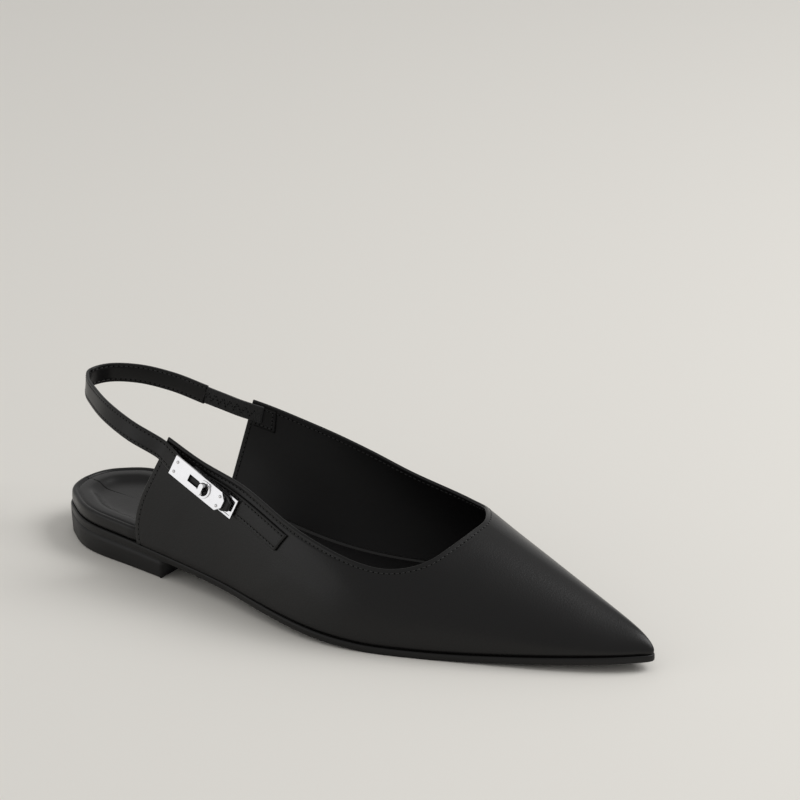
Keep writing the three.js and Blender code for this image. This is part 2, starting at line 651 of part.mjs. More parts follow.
// Tab of leather under the base plate, cut from a layer that follows the quarter
function claspTab() {
  const alongSteps = 14;
  const acrossSteps = 4;
  const reach = TAB_LENGTH / SOLE_LENGTH;
  const back = CLASP_AT - TAB_TUCK / SOLE_LENGTH;
  const halfAround = (at) => {
    const low = onUpper(at, CLASP_AROUND - 0.01, 0);
    const high = onUpper(at, CLASP_AROUND + 0.01, 0);
    return (0.01 * TAB_WIDTH) / low.distanceTo(high);
  };
  const layer = (out) => {
    const rows = [];
    for (let i = 0; i <= alongSteps; i++) {
      const row = [];
      for (let j = 0; j <= acrossSteps; j++) {
        const across = (2 * j) / acrossSteps - 1;
        // the free end is cut a little aslant
        const at = back + reach * (i / alongSteps) * (1 + TAB_SLANT * across);
        row.push(onUpper(at, CLASP_AROUND + across * halfAround(at), out));
      }
      rows.push(row);
    }
    return rows;
  };
  return slab(layer(CLEARANCE + TAB_THICKNESS), layer(CLEARANCE));
}

// Bands: a centre line with, at each of its points, the direction across the band
function bandRows(centres, acrosses, steps) {
  const curve = new THREE.CatmullRomCurve3(centres, false, "centripetal");
  const lean = new THREE.CatmullRomCurve3(acrosses, false, "centripetal");
  const rows = [];
  for (let i = 0; i <= steps; i++) {
    const centre = curve.getPoint(i / steps);
    const tangent = curve.getTangent(i / steps);
    const across = lean.getPoint(i / steps);
    across.addScaledVector(tangent, -across.dot(tangent)).normalize();
    rows.push({ centre, across, out: tangent.clone().cross(across).normalize() });
  }
  return rows;
}

const BAND_ACROSS = [-0.5, -0.42, 0, 0.42, 0.5];

// Rounded flat section: full thickness over the middle, thinner at both edges
function band(rows, width, thickness) {
  const face = (side) =>
    rows.map(({ centre, across, out }) =>
      BAND_ACROSS.map((share) => {
        const half = Math.abs(share) === 0.5 ? thickness * 0.3 : thickness / 2;
        return centre.clone().addScaledVector(across, share * width).addScaledVector(out, side * half);
      }));
  return slab(face(1), face(-1));
}

// Free part of the strap, as centre points with the direction of its width
const strapRun = STRAP_RUN.map(({ forward, side, height, lean }) => {
  const centre = new THREE.Vector3(
    STRAP_BACK + STRAP_REACH * forward, BALL_WIDTH * side, STRAP_HEIGHT * height);
  return { centre, lean: THREE.MathUtils.degToRad(lean) };
});
const UPWARDS = new THREE.Vector3(0, 0, 1);
const strapRunAcross = strapRun.map(({ lean }, i) => {
  const before = strapRun[Math.max(0, i - 1)].centre;
  const after = strapRun[Math.min(strapRun.length - 1, i + 1)].centre;
  // the run goes from the lateral side round the heel, so the inside of the loop is on its right
  const inwards = after.clone().sub(before).setZ(0).normalize().cross(UPWARDS);
  return UPWARDS.clone().multiplyScalar(Math.cos(lean)).addScaledVector(inwards, Math.sin(lean));
});

// Held part of the strap: level under the top plate, then down to the quarter and over its back edge
const STRAP_OVERLAP = 11;
const strapHold = [
  { along: STRAP_END, drop: 0 },
  { along: PLATE_FRONT / 2, drop: 0 },
  { along: PLATE_BACK / 2, drop: 0 },
  { along: PLATE_BACK, drop: 0 },
  { along: PLATE_BACK - 0.1 * STRAP_OVERLAP, drop: 0.1 },
  { along: PLATE_BACK - 0.5 * STRAP_OVERLAP, drop: 0.6 },
  { along: PLATE_BACK - STRAP_OVERLAP, drop: 1 },
];
const STRAP_DROP = STRAP_BOTTOM - 2.5 * CLEARANCE;

const STRAP_STEPS = 72;

function backStrap() {
  const middle = STRAP_BOTTOM + STRAP_THICKNESS / 2;
  const held = strapHold.map(({ along, drop }) => claspPoint(along, 0, middle - STRAP_DROP * drop));
  const centres = [...held, ...strapRun.map(({ centre }) => centre)];
  const acrosses = [...held.map(() => claspAcross.clone()), ...strapRunAcross];
  const body = band(bandRows(centres, acrosses, STRAP_STEPS), STRAP_WIDTH, STRAP_THICKNESS);
  return cut(body, keyhole(STRAP_BOTTOM, STRAP_THICKNESS, 0.3).applyMatrix4(claspFrame));
}

// Share around the section of the top line at a share of length, on one side
function topAround(at, side) {
  const rows = TOP_LINE.filter((row) => (side === "lateral" ? row.around < 0.3 : row.around > 0.7));
  if (side === "medial") rows.reverse();
  let i = 0;
  while (i < rows.length - 2 && at > rows[i + 1].at) i++;
  const share = (at - rows[i].at) / (rows[i + 1].at - rows[i].at);
  return THREE.MathUtils.lerp(rows[i].around, rows[i + 1].around, share);
}

const PATCH_BACK = 0.248;
const PATCH_DROP = 0.9;
const elasticDrop = PATCH_DROP + ELASTIC_WIDTH / 2;

// Patch inside the medial quarter that holds the end of the elastic
function elasticPatch() {
  const alongSteps = 6;
  const upSteps = 4;
  const layer = (out) => {
    const rows = [];
    for (let i = 0; i <= alongSteps; i++) {
      const at = PATCH_BACK + (PATCH_LENGTH / SOLE_LENGTH) * (i / alongSteps);
      const top = onUpper(at, topAround(at, "medial"), 0).z - PATCH_DROP;
      const row = [];
      for (let j = 0; j <= upSteps; j++) {
        const height = top - PATCH_WIDTH * (1 - j / upSteps);
        row.push(onUpper(at, aroundAtHeight(at, "medial", height), out));
      }
      rows.push(row);
    }
    return rows;
  };
  return slab(layer(-WALL - CLEARANCE - PATCH_THICKNESS), layer(-WALL - CLEARANCE));
}

// Elastic from the strap's end to the patch, on the inside of the medial quarter
const ELASTIC_ENTRY = 0.225;
const ELASTIC_SINK = 0.13;
const ELASTIC_STEPS = 12;

function elastic() {
  const start = strapRun[strapRun.length - 1];
  const before = strapRun[strapRun.length - 2];
  const heading = start.centre.clone().sub(before.centre).normalize();
  const held = onUpper(PATCH_BACK, topAround(PATCH_BACK, "medial"), 0).z - elasticDrop;
  const out = -WALL - CLEARANCE - ELASTIC_THICKNESS / 2;
  const insidePoint = (at, lift) => {
    const height = held + lift + ELASTIC_SINK * SOLE_LENGTH * (PATCH_BACK - at);
    return onUpper(at, aroundAtHeight(at, "medial", height), out);
  };
  const end = PATCH_BACK - (2 * CLEARANCE) / SOLE_LENGTH;
  const quarterUp = insidePoint(end, 2).sub(insidePoint(end, -2)).normalize();
  const entry = insidePoint(ELASTIC_ENTRY, 0);
  const centres = [
    start.centre.clone().addScaledVector(heading, CLEARANCE),
    start.centre.clone().lerp(entry, 0.5),
    entry,
    insidePoint(end, 0),
  ];
  const across = strapRunAcross[strapRunAcross.length - 1];
  const acrosses = [0, 0.4, 0.8, 1].map((share) => across.clone().lerp(quarterUp, share).normalize());
  return band(bandRows(centres, acrosses, ELASTIC_STEPS), ELASTIC_WIDTH, ELASTIC_THICKNESS);
}

const LEATHER = { color: 0x1b1a1b, roughness: 0.42, metalness: 0 };
const SOLE_LEATHER = { color: 0x1d1c1d, roughness: 0.5, metalness: 0 };
const WOVEN = { color: 0x161516, roughness: 0.85, metalness: 0 };
const METAL = { color: 0xd9d7d8, roughness: 0.12, metalness: 1 };

function addPiece(parent, name, geometry, look) {
  const mesh = new THREE.Mesh(geometry, new THREE.MeshStandardMaterial(look));
  mesh.name = name;
  parent.add(mesh);
}

const shoe = new THREE.Group();
shoe.name = "slingback_shoe_right";
addPiece(shoe, "outsole", outsole(), SOLE_LEATHER);
addPiece(shoe, "heel", heel(), SOLE_LEATHER);
addPiece(shoe, "insole", insole(), LEATHER);
addPiece(shoe, "upper", upper(), LEATHER);
addPiece(shoe, "clasp_tab", claspTab(), LEATHER);
addPiece(shoe, "back_strap", backStrap(), LEATHER);
addPiece(shoe, "elastic", elastic(), WOVEN);
addPiece(shoe, "elastic_patch", elasticPatch(), LEATHER);

const clasp = new THREE.Group();
clasp.applyMatrix4(claspFrame);
shoe.add(clasp);
addPiece(clasp, "clasp_base", claspBase(), METAL);
addPiece(clasp, "clasp_plate", claspPlate(), METAL);
addPiece(clasp, "turn_knob", turnKnob(), METAL);
for (const { name, along, side } of RIVET_PLACES) addPiece(clasp, name, rivet(along, side), METAL);

export default shoe;
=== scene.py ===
"""Looks of the right slingback shoe: the fine surfaces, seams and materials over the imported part."""

import math

import bpy
import numpy as np
from mathutils import Euler, Matrix, Vector


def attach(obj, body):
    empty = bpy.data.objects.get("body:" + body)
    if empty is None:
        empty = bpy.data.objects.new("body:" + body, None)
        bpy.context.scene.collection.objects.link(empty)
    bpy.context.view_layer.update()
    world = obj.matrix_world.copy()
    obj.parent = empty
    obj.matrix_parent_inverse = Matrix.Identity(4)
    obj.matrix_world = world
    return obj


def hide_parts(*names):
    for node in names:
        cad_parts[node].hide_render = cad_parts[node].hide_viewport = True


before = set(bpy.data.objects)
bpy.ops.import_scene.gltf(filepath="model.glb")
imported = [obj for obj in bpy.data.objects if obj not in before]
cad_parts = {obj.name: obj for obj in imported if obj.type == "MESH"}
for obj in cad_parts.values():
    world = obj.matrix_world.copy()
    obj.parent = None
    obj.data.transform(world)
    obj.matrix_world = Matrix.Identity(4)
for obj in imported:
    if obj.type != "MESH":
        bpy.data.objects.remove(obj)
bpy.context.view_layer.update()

# Sizes of the part, in millimetres
MM = 0.001
SOLE_LENGTH = 272
BALL_WIDTH = 81
SOLE_THICKNESS = 2.8
HEEL_HEIGHT = 9.7
HEEL_LENGTH = 65
HEEL_TAPER = 0.6
TOE_SPRING = 4
INSTEP_RISE = 100
WALL = 1.4
FEATHER_INSET = 0.9
CLEARANCE = 0.3
SEAT_HEIGHT = 5.6
FORE_HEIGHT = 3
SEAT_INSET = 1
SEAT_DISH = 2.8
STRAP_WIDTH = 8
STRAP_THICKNESS = 1.4
STRAP_REACH = 64
STRAP_HEIGHT = 59
STRAP_BEHIND = 1
STRAP_TAIL = 2.2
STRAP_OVERLAP = 11
ELASTIC_WIDTH = 7
ELASTIC_THICKNESS = 1.2
ELASTIC_HELD = 4
PATCH_LENGTH = 10
PATCH_WIDTH = 9
PATCH_SHOWN = 0.5
PATCH_DROP = 0.9
TAB_LENGTH = 46.6
TAB_WIDTH = 8.8
TAB_THICKNESS = 1
TAB_TUCK = 7
CLASP_STAND = 0.45
BASE_THICKNESS = 0.8
PLATE_LENGTH = 30
POST_FROM_BACK = 18.9

# Places as shares of the sole's length, or round the upper's section, and the clasp's slope
ARCH_END = 0.64
ARCH_FALL = 1.4
SPRING_START = 0.7
SPRING_END = 1.02
QUARTER_FOOT_LATERAL = 0.188
QUARTER_FOOT_MEDIAL = 0.217
QUARTER_SWEEP = 0.068
QUARTER_SWEEP_FALL = 2.7
INSOLE_END = 0.93
CLASP_AT = 0.3216
CLASP_AROUND = 0.0855
CLASP_PITCH = math.radians(18)
TAB_SLANT = 0.05
PATCH_BACK = 0.248
ELASTIC_ENTRY = 0.225
ELASTIC_FALL = 0.13
HEEL_BACK = -HEEL_LENGTH / 2
HEEL_SHARE = HEEL_LENGTH / SOLE_LENGTH
STRAP_BACK = HEEL_BACK - STRAP_BEHIND

# Sole outline: share of length, lateral and medial edge as shares of the ball width
OUTLINE = [
    (0, 0.031, 0.031), (0.01, -0.1173, 0.1886), (0.03, -0.1877, 0.2665), (0.06, -0.2665, 0.3331),
    (0.1, -0.3209, 0.3472), (0.14, -0.3434, 0.3331), (0.18, -0.3631, 0.3068), (0.22, -0.3852, 0.274),
    (0.27, -0.4119, 0.2411), (0.32, -0.4386, 0.2177), (0.37, -0.4729, 0.2092), (0.42, -0.5193, 0.2252),
    (0.47, -0.563, 0.2646), (0.52, -0.5935, 0.3143), (0.57, -0.601, 0.38), (0.62, -0.5784, 0.425),
    (0.67, -0.5329, 0.4185), (0.72, -0.4748, 0.3772), (0.77, -0.4124, 0.3303), (0.82, -0.3481, 0.2815),
    (0.87, -0.281, 0.2289), (0.92, -0.2031, 0.167), (0.96, -0.1271, 0.1051), (0.98, -0.0779, 0.0657),
    (1, 0, 0),
]

# Sections of the last: share of length, rise, ridge, lateral lean, medial lean, side, top
SECTIONS = [
    (0.12, 0.91, 0.165, -8.6, 2.4, 0.87, 0.3),
    (0.2, 0.876, 0.172, -9.9, 14.9, 0.91, 0.3),
    (0.28, 0.834, 0.171, -11, 26, 0.95, 0.3),
    (0.38, 0.751, 0.163, -11.2, 33.5, 0.97, 0.3),
    (0.48, 0.635, 0.136, -9.5, 32, 0.93, 0.3),
    (0.58, 0.524, 0.098, -4.5, 24.5, 0.86, 0.3),
    (0.68, 0.419, 0.061, 0.5, 19, 0.79, 0.34),
    (0.78, 0.306, 0.046, 4.5, 18.5, 0.715, 0.39),
    (0.87, 0.195, 0.04, 7, 15, 0.63, 0.41),
    (0.94, 0.111, 0.033, 8, 10, 0.56, 0.42),
    (0.98, 0.063, 0.016, 6, 6.5, 0.5, 0.44),
    (1, 0, 0, 3.5, 3, 0.45, 0.46),
]

# Top line: share of length and share around the section, lateral back corner to medial one
TOP_LINE = [
    (0.225, 0.12), (0.3, 0.1092), (0.3775, 0.1121), (0.4565, 0.1164), (0.5364, 0.1296),
    (0.6088, 0.1471), (0.6673, 0.1928), (0.7001, 0.2935), (0.7112, 0.4177), (0.7042, 0.5808),
    (0.675, 0.71), (0.613, 0.802), (0.5468, 0.8261), (0.4715, 0.8395), (0.394, 0.8541),
    (0.319, 0.8665), (0.245, 0.872),
]

# Free run of the strap, as shares of its reach, the ball width and its height, and its lean in degrees
STRAP_RUN = [
    (0.7, -0.272, 0.952, 20), (0.436, -0.187, 0.99, 17), (0.225, -0.073, 1, 11),
    (0.071, 0.0338, 1.003, 6), (0, 0.1323, 1.005, 2), (0.055, 0.2318, 1.012, -2),
    (0.234, 0.304, 1.012, -5), (0.466, 0.3481, 0.982, -8), (0.706, 0.364, 0.934, -10),
]

# Soft troughs and ridges of the upper: middle, heading, half length, half width, depth
CREASES = [
    ((98, -45, 27), (0.93, -0.2, -0.3), 17, 3.2, -0.32),
    ((92, -45, 18), (0.75, -0.2, 0.6), 14, 4.0, 0.22),
    ((118, -44, 24), (0.9, -0.1, -0.42), 15, 3.6, -0.2),
    ((40, -27, 20), (0.35, 0, 0.94), 11, 5.0, -0.2),
    ((150, -40, 18), (0.55, 0.2, 0.8), 10, 4.5, -0.22),
    ((162, -33, 22), (0.5, 0.3, 0.8), 12, 4.0, 0.18),
    ((150, 36, 20), (0.5, -0.25, 0.8), 11, 4.5, -0.22),
    ((110, 24, 30), (0.8, 0.1, -0.55), 14, 5.0, -0.25),
]

# Rolled top edge of the upper's wall: out along its normal, and up past the top line
LIP = [
    (0.02, 0.12), (-0.12, 0.32), (-0.38, 0.42), (-0.62, 0.34), (-0.72, 0.12), (-0.82, 0.3),
    (-1.04, 0.36), (-1.28, 0.24), (-1.4, 0.08),
]
LIP_OUTSIDE = 6

# Rounded back edges of the upper's wall: share of the way to its middle, and how far it stands out
BACK_ROUND = [(0.18, 0.22), (0.62, 0.34)]

# Sole's edge from below: inset, height over the underside, and whether only the free sole is drawn in
SOLE_EDGE_ROWS = [
    (0.55, 0.0, True), (0.2, 0.1, True), (0.03, 0.35, True), (0, 0.7, False), (0, 1.5, False),
    (0.02, 2.1, False), (0.1, 2.5, False), (0.34, 2.74, False), (0.75, SOLE_THICKNESS, False),
    (1.6, SOLE_THICKNESS, False),
]

# Heel from below: inset, share of its height, and height above that
HEEL_ROWS = [
    (0.9, 0, 0), (0.3, 0, 0.02), (0.08, 0, 0.2), (0, 0, 0.5), (0, 0.33, 0), (0, 0.66, 0), (0, 1, 0),
]

# Insole from its foot over the bead to the middle: inset, share of its height, drop, share of the dish
INSOLE_ROWS = [
    (0.9, 0, 0, 0), (0.25, 0.02, 0, 0), (0, 0.12, 0, 0), (-0.05, 0.4, 0, 0), (0, 0.7, 0, 0),
    (0.12, 0.84, 0, 0), (0.42, 0.95, 0, 0), (0.8, 0.99, 0, 0), (1.15, 1, -0.02, 0), (1.5, 1, 0.03, 0),
    (1.85, 1, 0.16, 0), (2.15, 1, 0.4, 0), (2.4, 1, 0.68, 0), (2.7, 1, 0.72, 0), (3.0, 1, 0.5, 0),
    (3.4, 1, 0.32, 0), (4.2, 1, 0.26, 0), (6, 1, 0.28, 0), (7.4, 1, 0.3, 0.02), (8.2, 1, 0.3, 0.1),
    (9, 1, 0.3, 0.24), (10, 1, 0.3, 0.45), (11.2, 1, 0.3, 0.68), (12.8, 1, 0.3, 0.87),
    (15, 1, 0.3, 0.98), (19, 1, 0.3, 1.02), (26, 1, 0.3, 1.04), (BALL_WIDTH, 1, 0.3, 1.05),
]


# The part's own surfaces

def ease(low, high, value):
    share = np.clip((value - low) / (high - low), 0, 1)
    return share * share * (3 - 2 * share)


def lerp(a, b, t):
    return a + (b - a) * t


def unit(v):
    return v / np.maximum(np.linalg.norm(v, axis=-1, keepdims=True), 1e-12)


def spline(places, values):
    """Natural cubic spline through the values, as a function of an array of places."""
    x, y = np.array(places, float), np.array(values, float)
    n, h = len(x), np.diff(x)
    rows, turns = np.eye(n), np.zeros(n)
    for i in range(1, n - 1):
        rows[i, i - 1:i + 2] = h[i - 1], 2 * (h[i - 1] + h[i]), h[i]
        turns[i] = 6 * ((y[i + 1] - y[i]) / h[i] - (y[i] - y[i - 1]) / h[i - 1])
    bend = np.linalg.solve(rows, turns)

    def value(place):
        i = np.clip(np.searchsorted(x, place) - 1, 0, n - 2)
        b = (place - x[i]) / h[i]
        a = 1 - b
        bent = (a**3 - a) * bend[i] + (b**3 - b) * bend[i + 1]
        return a * y[i] + b * y[i + 1] + bent * h[i]**2 / 6
    return value


def station(at):
    """Angle that spreads a share of length evenly at both ends."""
    return np.arccos(np.clip(1 - 2 * np.asarray(at, float), -1, 1))


def column(rows, k):
    curve = spline([station(r[0]) for r in rows], [r[k] for r in rows])
    return lambda at: curve(station(at))


outline_of = {-1: column(OUTLINE, 1), 1: column(OUTLINE, 2)}
section = [column(SECTIONS, k) for k in range(1, 7)]


def length_at(at):
    return HEEL_BACK + SOLE_LENGTH * at


def outline_side(at, side):
    return BALL_WIDTH * np.where(side < 0, outline_of[-1](at), outline_of[1](at))


def sole_under(at):
    arch = np.maximum(0, 1 - (at / ARCH_END)**2)**ARCH_FALL
    return HEEL_HEIGHT * arch + TOE_SPRING * ease(SPRING_START, SPRING_END, at)


def feather_height(at):
    return sole_under(at) + SOLE_THICKNESS + CLEARANCE


def last_point(across, up):
    """Point of the upper's outer face at a place of the half plane round the toe tip."""
    across, up = np.broadcast_arrays(np.asarray(across, float), np.asarray(up, float))
    reach = np.hypot(across, up)
    at = 1 - reach**2
    around = np.where(reach > 0, np.arctan2(up, across) / np.pi, 0.5)
    side = np.where(around <= 0.5, -1.0, 1.0)
    t = np.where(side < 0, 2 * around, 2 - 2 * around)
    rise_share, ridge_share, lean_lateral, lean_medial, full_side, full_top = (f(at) for f in section)
    inset = FEATHER_INSET * ease(0.3, 0.6, at) * np.minimum(1, reach / 0.12)
    foot_y = outline_side(at, side) - side * inset
    foot_z = feather_height(at)
    rise, ridge = INSTEP_RISE * rise_share, BALL_WIDTH * ridge_share
    lean = np.radians(np.where(side < 0, lean_lateral, lean_medial))
    wall = full_side * rise
    y = [foot_y, foot_y + side * wall * np.sin(lean), ridge + full_top * (foot_y - ridge), ridge]
    z = [foot_z, foot_z + wall * np.cos(lean), foot_z + rise, foot_z + rise]
    weight = [(1 - t)**3, 3 * t * (1 - t)**2, 3 * t * t * (1 - t), t**3]
    return np.stack([length_at(at), sum(w * v for w, v in zip(weight, y)),
                     sum(w * v for w, v in zip(weight, z))], -1)


def last_normal(across, up):
    nudge = 1e-4
    along = last_point(across + nudge, up) - last_point(across - nudge, up)
    over = last_point(across, up + nudge) - last_point(across, np.maximum(0, up - nudge))
    return unit(np.cross(over, along))


def on_upper(at, around, out):
    """Point at a share of length and a share round the section, out from the outer face."""
    reach = np.sqrt(1 - at)
    across, up = reach * np.cos(np.pi * around), reach * np.sin(np.pi * around)
    return last_point(across, up) + last_normal(across, up) * np.asarray(out)[..., None]


def around_at_height(at, side, height):
    low = np.where(side < 0, 0.0, 1.0) + 0 * at
    high = 0.5 + 0 * at
    for _ in range(40):
        middle = (low + high) / 2
        below = on_upper(at, middle, 0 * at)[..., 2] < height
        low, high = np.where(below, middle, low), np.where(below, high, middle)
    return (low + high) / 2


top_at, top_around = np.array(TOP_LINE).T
top_plane = np.sqrt(1 - top_at) * np.array([np.cos(np.pi * top_around), np.sin(np.pi * top_around)])
top_run = np.concatenate([[0], np.cumsum(np.hypot(*np.diff(top_plane)))])
top_across, top_up = spline(top_run, top_plane[0]), spline(top_run, top_plane[1])


def upper_place(along, up):
    """Place in the half plane for a share along the upper and a share up to its top line."""
    start, end = math.sqrt(1 - QUARTER_FOOT_LATERAL), -math.sqrt(1 - QUARTER_FOOT_MEDIAL)
    foot = lerp(start, end, along)
    x, y = top_across(along * top_run[-1]), top_up(along * top_run[-1])
    bow = QUARTER_SWEEP * ease(0.72, 0.9, foot) * up * (1 - up)**QUARTER_SWEEP_FALL
    reach = lerp(np.abs(foot), np.hypot(x, y), up) + bow
    angle = lerp(np.where(foot > 0, 0, np.pi), np.arctan2(y, x), up)
    share = ease(0.3, 0.75, np.abs(foot))
    return (lerp(lerp(foot, x, up), reach * np.cos(angle), share),
            lerp(y * up, reach * np.sin(angle), share))


# Mesh building

def add_mesh(name, points, faces, material, replaces=(), slot="leather", indices=None):
    mesh = bpy.data.meshes.new(name)
    mesh.from_pydata((np.asarray(points) * MM).tolist(), [], faces)
    for m in material if isinstance(material, list) else [material]:
        mesh.materials.append(m)
    if indices is not None:
        mesh.polygons.foreach_set("material_index", indices)
    mesh.polygons.foreach_set("use_smooth", [True] * len(mesh.polygons))
    mesh.update()
    obj = bpy.data.objects.new(name, mesh)
    bpy.context.scene.collection.objects.link(obj)
    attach(obj, "shoe")
    if replaces:
        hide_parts(*replaces)


def loft_faces(rows, count, shift, flip=False):
    """Quads between successive loops, and strips that close the first and the last loop."""
    i, k = np.meshgrid(np.arange(rows - 1), np.arange(count), indexing="ij")
    n = (k + 1) % count
    quads = np.stack([i * count + k, i * count + n, (i + 1) * count + n, (i + 1) * count + k], -1)
    faces = quads.reshape(-1, 4).tolist()
    for base, first in ((0, True), ((rows - 1) * count, False)):
        for a in range(count):
            b, c, d = (a + 1) % count, (shift - a - 1) % count, (shift - a) % count
            face = [base + v for v in dict.fromkeys([a, b, c, d])]
            if a < c and len(face) > 2:
                faces.append(face[::-1] if first else face)
    return [face[::-1] for face in faces] if flip else faces


EDGE_POINTS = 5
FACE_POINTS = 41
GROOVE_WIDTH = 0.38
GROOVE_DEPTH = 0.09


def rounded(width, thickness, edge, grooves=()):
    """Section of a strap as across and out, from one edge over the face to the other and back."""
    half, high = width / 2, thickness / 2
    side = [(-half + edge * (1 - math.sin(a)), high - edge * (1 - math.cos(a)))
            for a in np.linspace(math.pi / 2, 0, EDGE_POINTS)]
    face = []
    for x in np.linspace(-half + edge, half - edge, FACE_POINTS)[1:-1]:
        sunk = sum(GROOVE_DEPTH * math.exp(-((abs(x) - g) / GROOVE_WIDTH)**2) for g in grooves)
        face.append((x, high - sunk))
    top = side + face + [(-x, y) for x, y in side[::-1]]
    return np.array(top + [(x, -y) for x, y in top[::-1]])


def less_at_ends(rows, least):
    """Share for each row of a strip: 1, and less at its first and last row."""
    share = np.ones((rows, 1))
    share[0] = share[-1] = least
    return share


# Materials

def material(name, colour, roughness, metallic=0.0, coat=0.0, coat_rough=0.3, sheen=0.0):
    m = bpy.data.materials.new(name)
    m.use_nodes = True
    nodes, links = m.node_tree.nodes, m.node_tree.links
    shader = nodes["Principled BSDF"]
    shader.inputs["Base Color"].default_value = (*colour, 1)
    shader.inputs["Roughness"].default_value = roughness
    shader.inputs["Metallic"].default_value = metallic
    shader.inputs["Coat Weight"].default_value = coat
    shader.inputs["Coat Roughness"].default_value = coat_rough
    shader.inputs["Sheen Weight"].default_value = sheen
    return m, nodes, links, shader


def node(nodes, kind, **values):
    made = nodes.new(kind)
    for key, value in values.items():
        if hasattr(made, key):
            setattr(made, key, value)
        else:
            made.inputs[key.replace("_", " ")].default_value = value
    return made


def placed(nodes, links, kind, **values):
    """Texture that follows the piece's own coordinates."""
    made = node(nodes, kind, **values)
    links.new(node(nodes, "ShaderNodeTexCoord").outputs["Object"], made.inputs["Vector"])
    return made


def ranged(nodes, links, source, low, high):
    made = node(nodes, "ShaderNodeMapRange", To_Min=low, To_Max=high)
    links.new(source, made.inputs["Value"])
    return made.outputs["Result"]


def bumped(nodes, links, height, strength, distance):
    made = node(nodes, "ShaderNodeBump", Strength=strength, Distance=distance)
    links.new(height, made.inputs["Height"])
    return made


def leather(name, colour, roughness, grain=1.0, scale=1500.0, coat=0.05, spread=0.06):
    """Fine calf: cell grain, soft mottling of the gloss and a little unevenness of colour."""
    m, nodes, links, shader = material(name, colour, roughness, coat=coat, coat_rough=0.28)
    shader.inputs["Specular IOR Level"].default_value = 0.26
    cells = placed(nodes, links, "ShaderNodeTexVoronoi", feature="SMOOTH_F1", Scale=scale, Smoothness=0.6)
    fine = placed(nodes, links, "ShaderNodeTexNoise", Scale=scale * 1.7, Detail=3.0)
    broad = placed(nodes, links, "ShaderNodeTexNoise", Scale=55.0, Detail=4.0)
    both = node(nodes, "ShaderNodeMath", operation="ADD")
    links.new(cells.outputs["Distance"], both.inputs[0])
    links.new(ranged(nodes, links, fine.outputs["Fac"], 0.0, 0.5), both.inputs[1])
    bump = bumped(nodes, links, both.outputs[0], 0.22 * grain, 0.00012)
    wave = bumped(nodes, links, broad.outputs["Fac"], 0.12, 0.0008)
    links.new(bump.outputs["Normal"], wave.inputs["Normal"])
    links.new(wave.outputs["Normal"], shader.inputs["Normal"])
    links.new(ranged(nodes, links, broad.outputs["Fac"], roughness - spread, roughness + spread),
              shader.inputs["Roughness"])
    tone = node(nodes, "ShaderNodeMix", data_type="RGBA")
    tone.inputs["A"].default_value = (*(0.86 * c for c in colour), 1)
    tone.inputs["B"].default_value = (*(1.14 * c for c in colour), 1)
    links.new(broad.outputs["Fac"], tone.inputs["Factor"])
    links.new(tone.outputs["Result"], shader.inputs["Base Color"])
    return m


def thread_material():
    m, nodes, links, shader = material("thread", (0.006, 0.006, 0.0062), 0.5, sheen=0.05)
    twist = placed(nodes, links, "ShaderNodeTexWave", Scale=900.0, Distortion=1.5)
    bump = bumped(nodes, links, twist.outputs["Fac"], 0.3, 0.0001)
    links.new(bump.outputs["Normal"], shader.inputs["Normal"])
    return m


# Needle holes: a near-black matte plug, painted shade standing for the dark of each hole
def hole_shade_material():
    m, nodes, links, shader = material("pinhole_shade", (0.002, 0.002, 0.002), 0.9)
    shader.inputs["Specular IOR Level"].default_value = 0.1
    speck = node(nodes, "ShaderNodeTexNoise", Scale=2500.0)
    links.new(ranged(nodes, links, speck.outputs["Fac"], 0.8, 1.0), shader.inputs["Roughness"])
    return m


def elastic_material():
    m, nodes, links, shader = material("woven_elastic", (0.008, 0.008, 0.0082), 0.75, sheen=0.12)
    ribs = placed(nodes, links, "ShaderNodeTexWave", bands_direction="X", Scale=420.0, Distortion=0.6,
                  Detail=2.0)
    picks = placed(nodes, links, "ShaderNodeTexWave", bands_direction="Z", Scale=520.0, Distortion=0.4)
    weave = node(nodes, "ShaderNodeMath", operation="MULTIPLY")
    links.new(ribs.outputs["Fac"], weave.inputs[0])
    links.new(picks.outputs["Fac"], weave.inputs[1])
    bump = bumped(nodes, links, weave.outputs[0], 0.7, 0.0002)
    links.new(bump.outputs["Normal"], shader.inputs["Normal"])
    return m


def silver_material():
    m, nodes, links, shader = material("silver", (0.72, 0.72, 0.735), 0.13, metallic=1.0)
    haze = placed(nodes, links, "ShaderNodeTexNoise", Scale=320.0, Detail=4.0)
    links.new(ranged(nodes, links, haze.outputs["Fac"], 0.09, 0.19), shader.inputs["Roughness"])
    bump = bumped(nodes, links, haze.outputs["Fac"], 0.03, 0.0001)
    links.new(bump.outputs["Normal"], shader.inputs["Normal"])
    return m


def paper_material():
    m, nodes, links, shader = material("paper_floor", (0.80, 0.781, 0.738), 0.7)
    mottle = placed(nodes, links, "ShaderNodeTexNoise", Scale=3.0, Detail=2.0)
    links.new(ranged(nodes, links, mottle.outputs["Fac"], 0.62, 0.78), shader.inputs["Roughness"])
    return m


CALF = leather("calf", (0.0050, 0.0048, 0.0049), 0.33)
LINING = leather("lining", (0.0040, 0.0038, 0.0039), 0.5, grain=0.7, coat=0.0)
FOOTBED = leather("footbed", (0.0060, 0.0057, 0.0058), 0.34, grain=0.8, coat=0.1)
SOLE_EDGE = leather("sole_edge", (0.0050, 0.0048, 0.0048), 0.40, grain=0.5, scale=900.0)
HEEL_LEATHER = leather("heel_leather", (0.0080, 0.0078, 0.0080), 0.46, grain=0.6)
SOLE_UNDER = leather("sole_under", (0.012, 0.0115, 0.011), 0.6, grain=1.3, scale=700.0, coat=0.0)
THREAD = thread_material()
PINHOLE_SHADE = hole_shade_material()
WOVEN = elastic_material()
SILVER = silver_material()
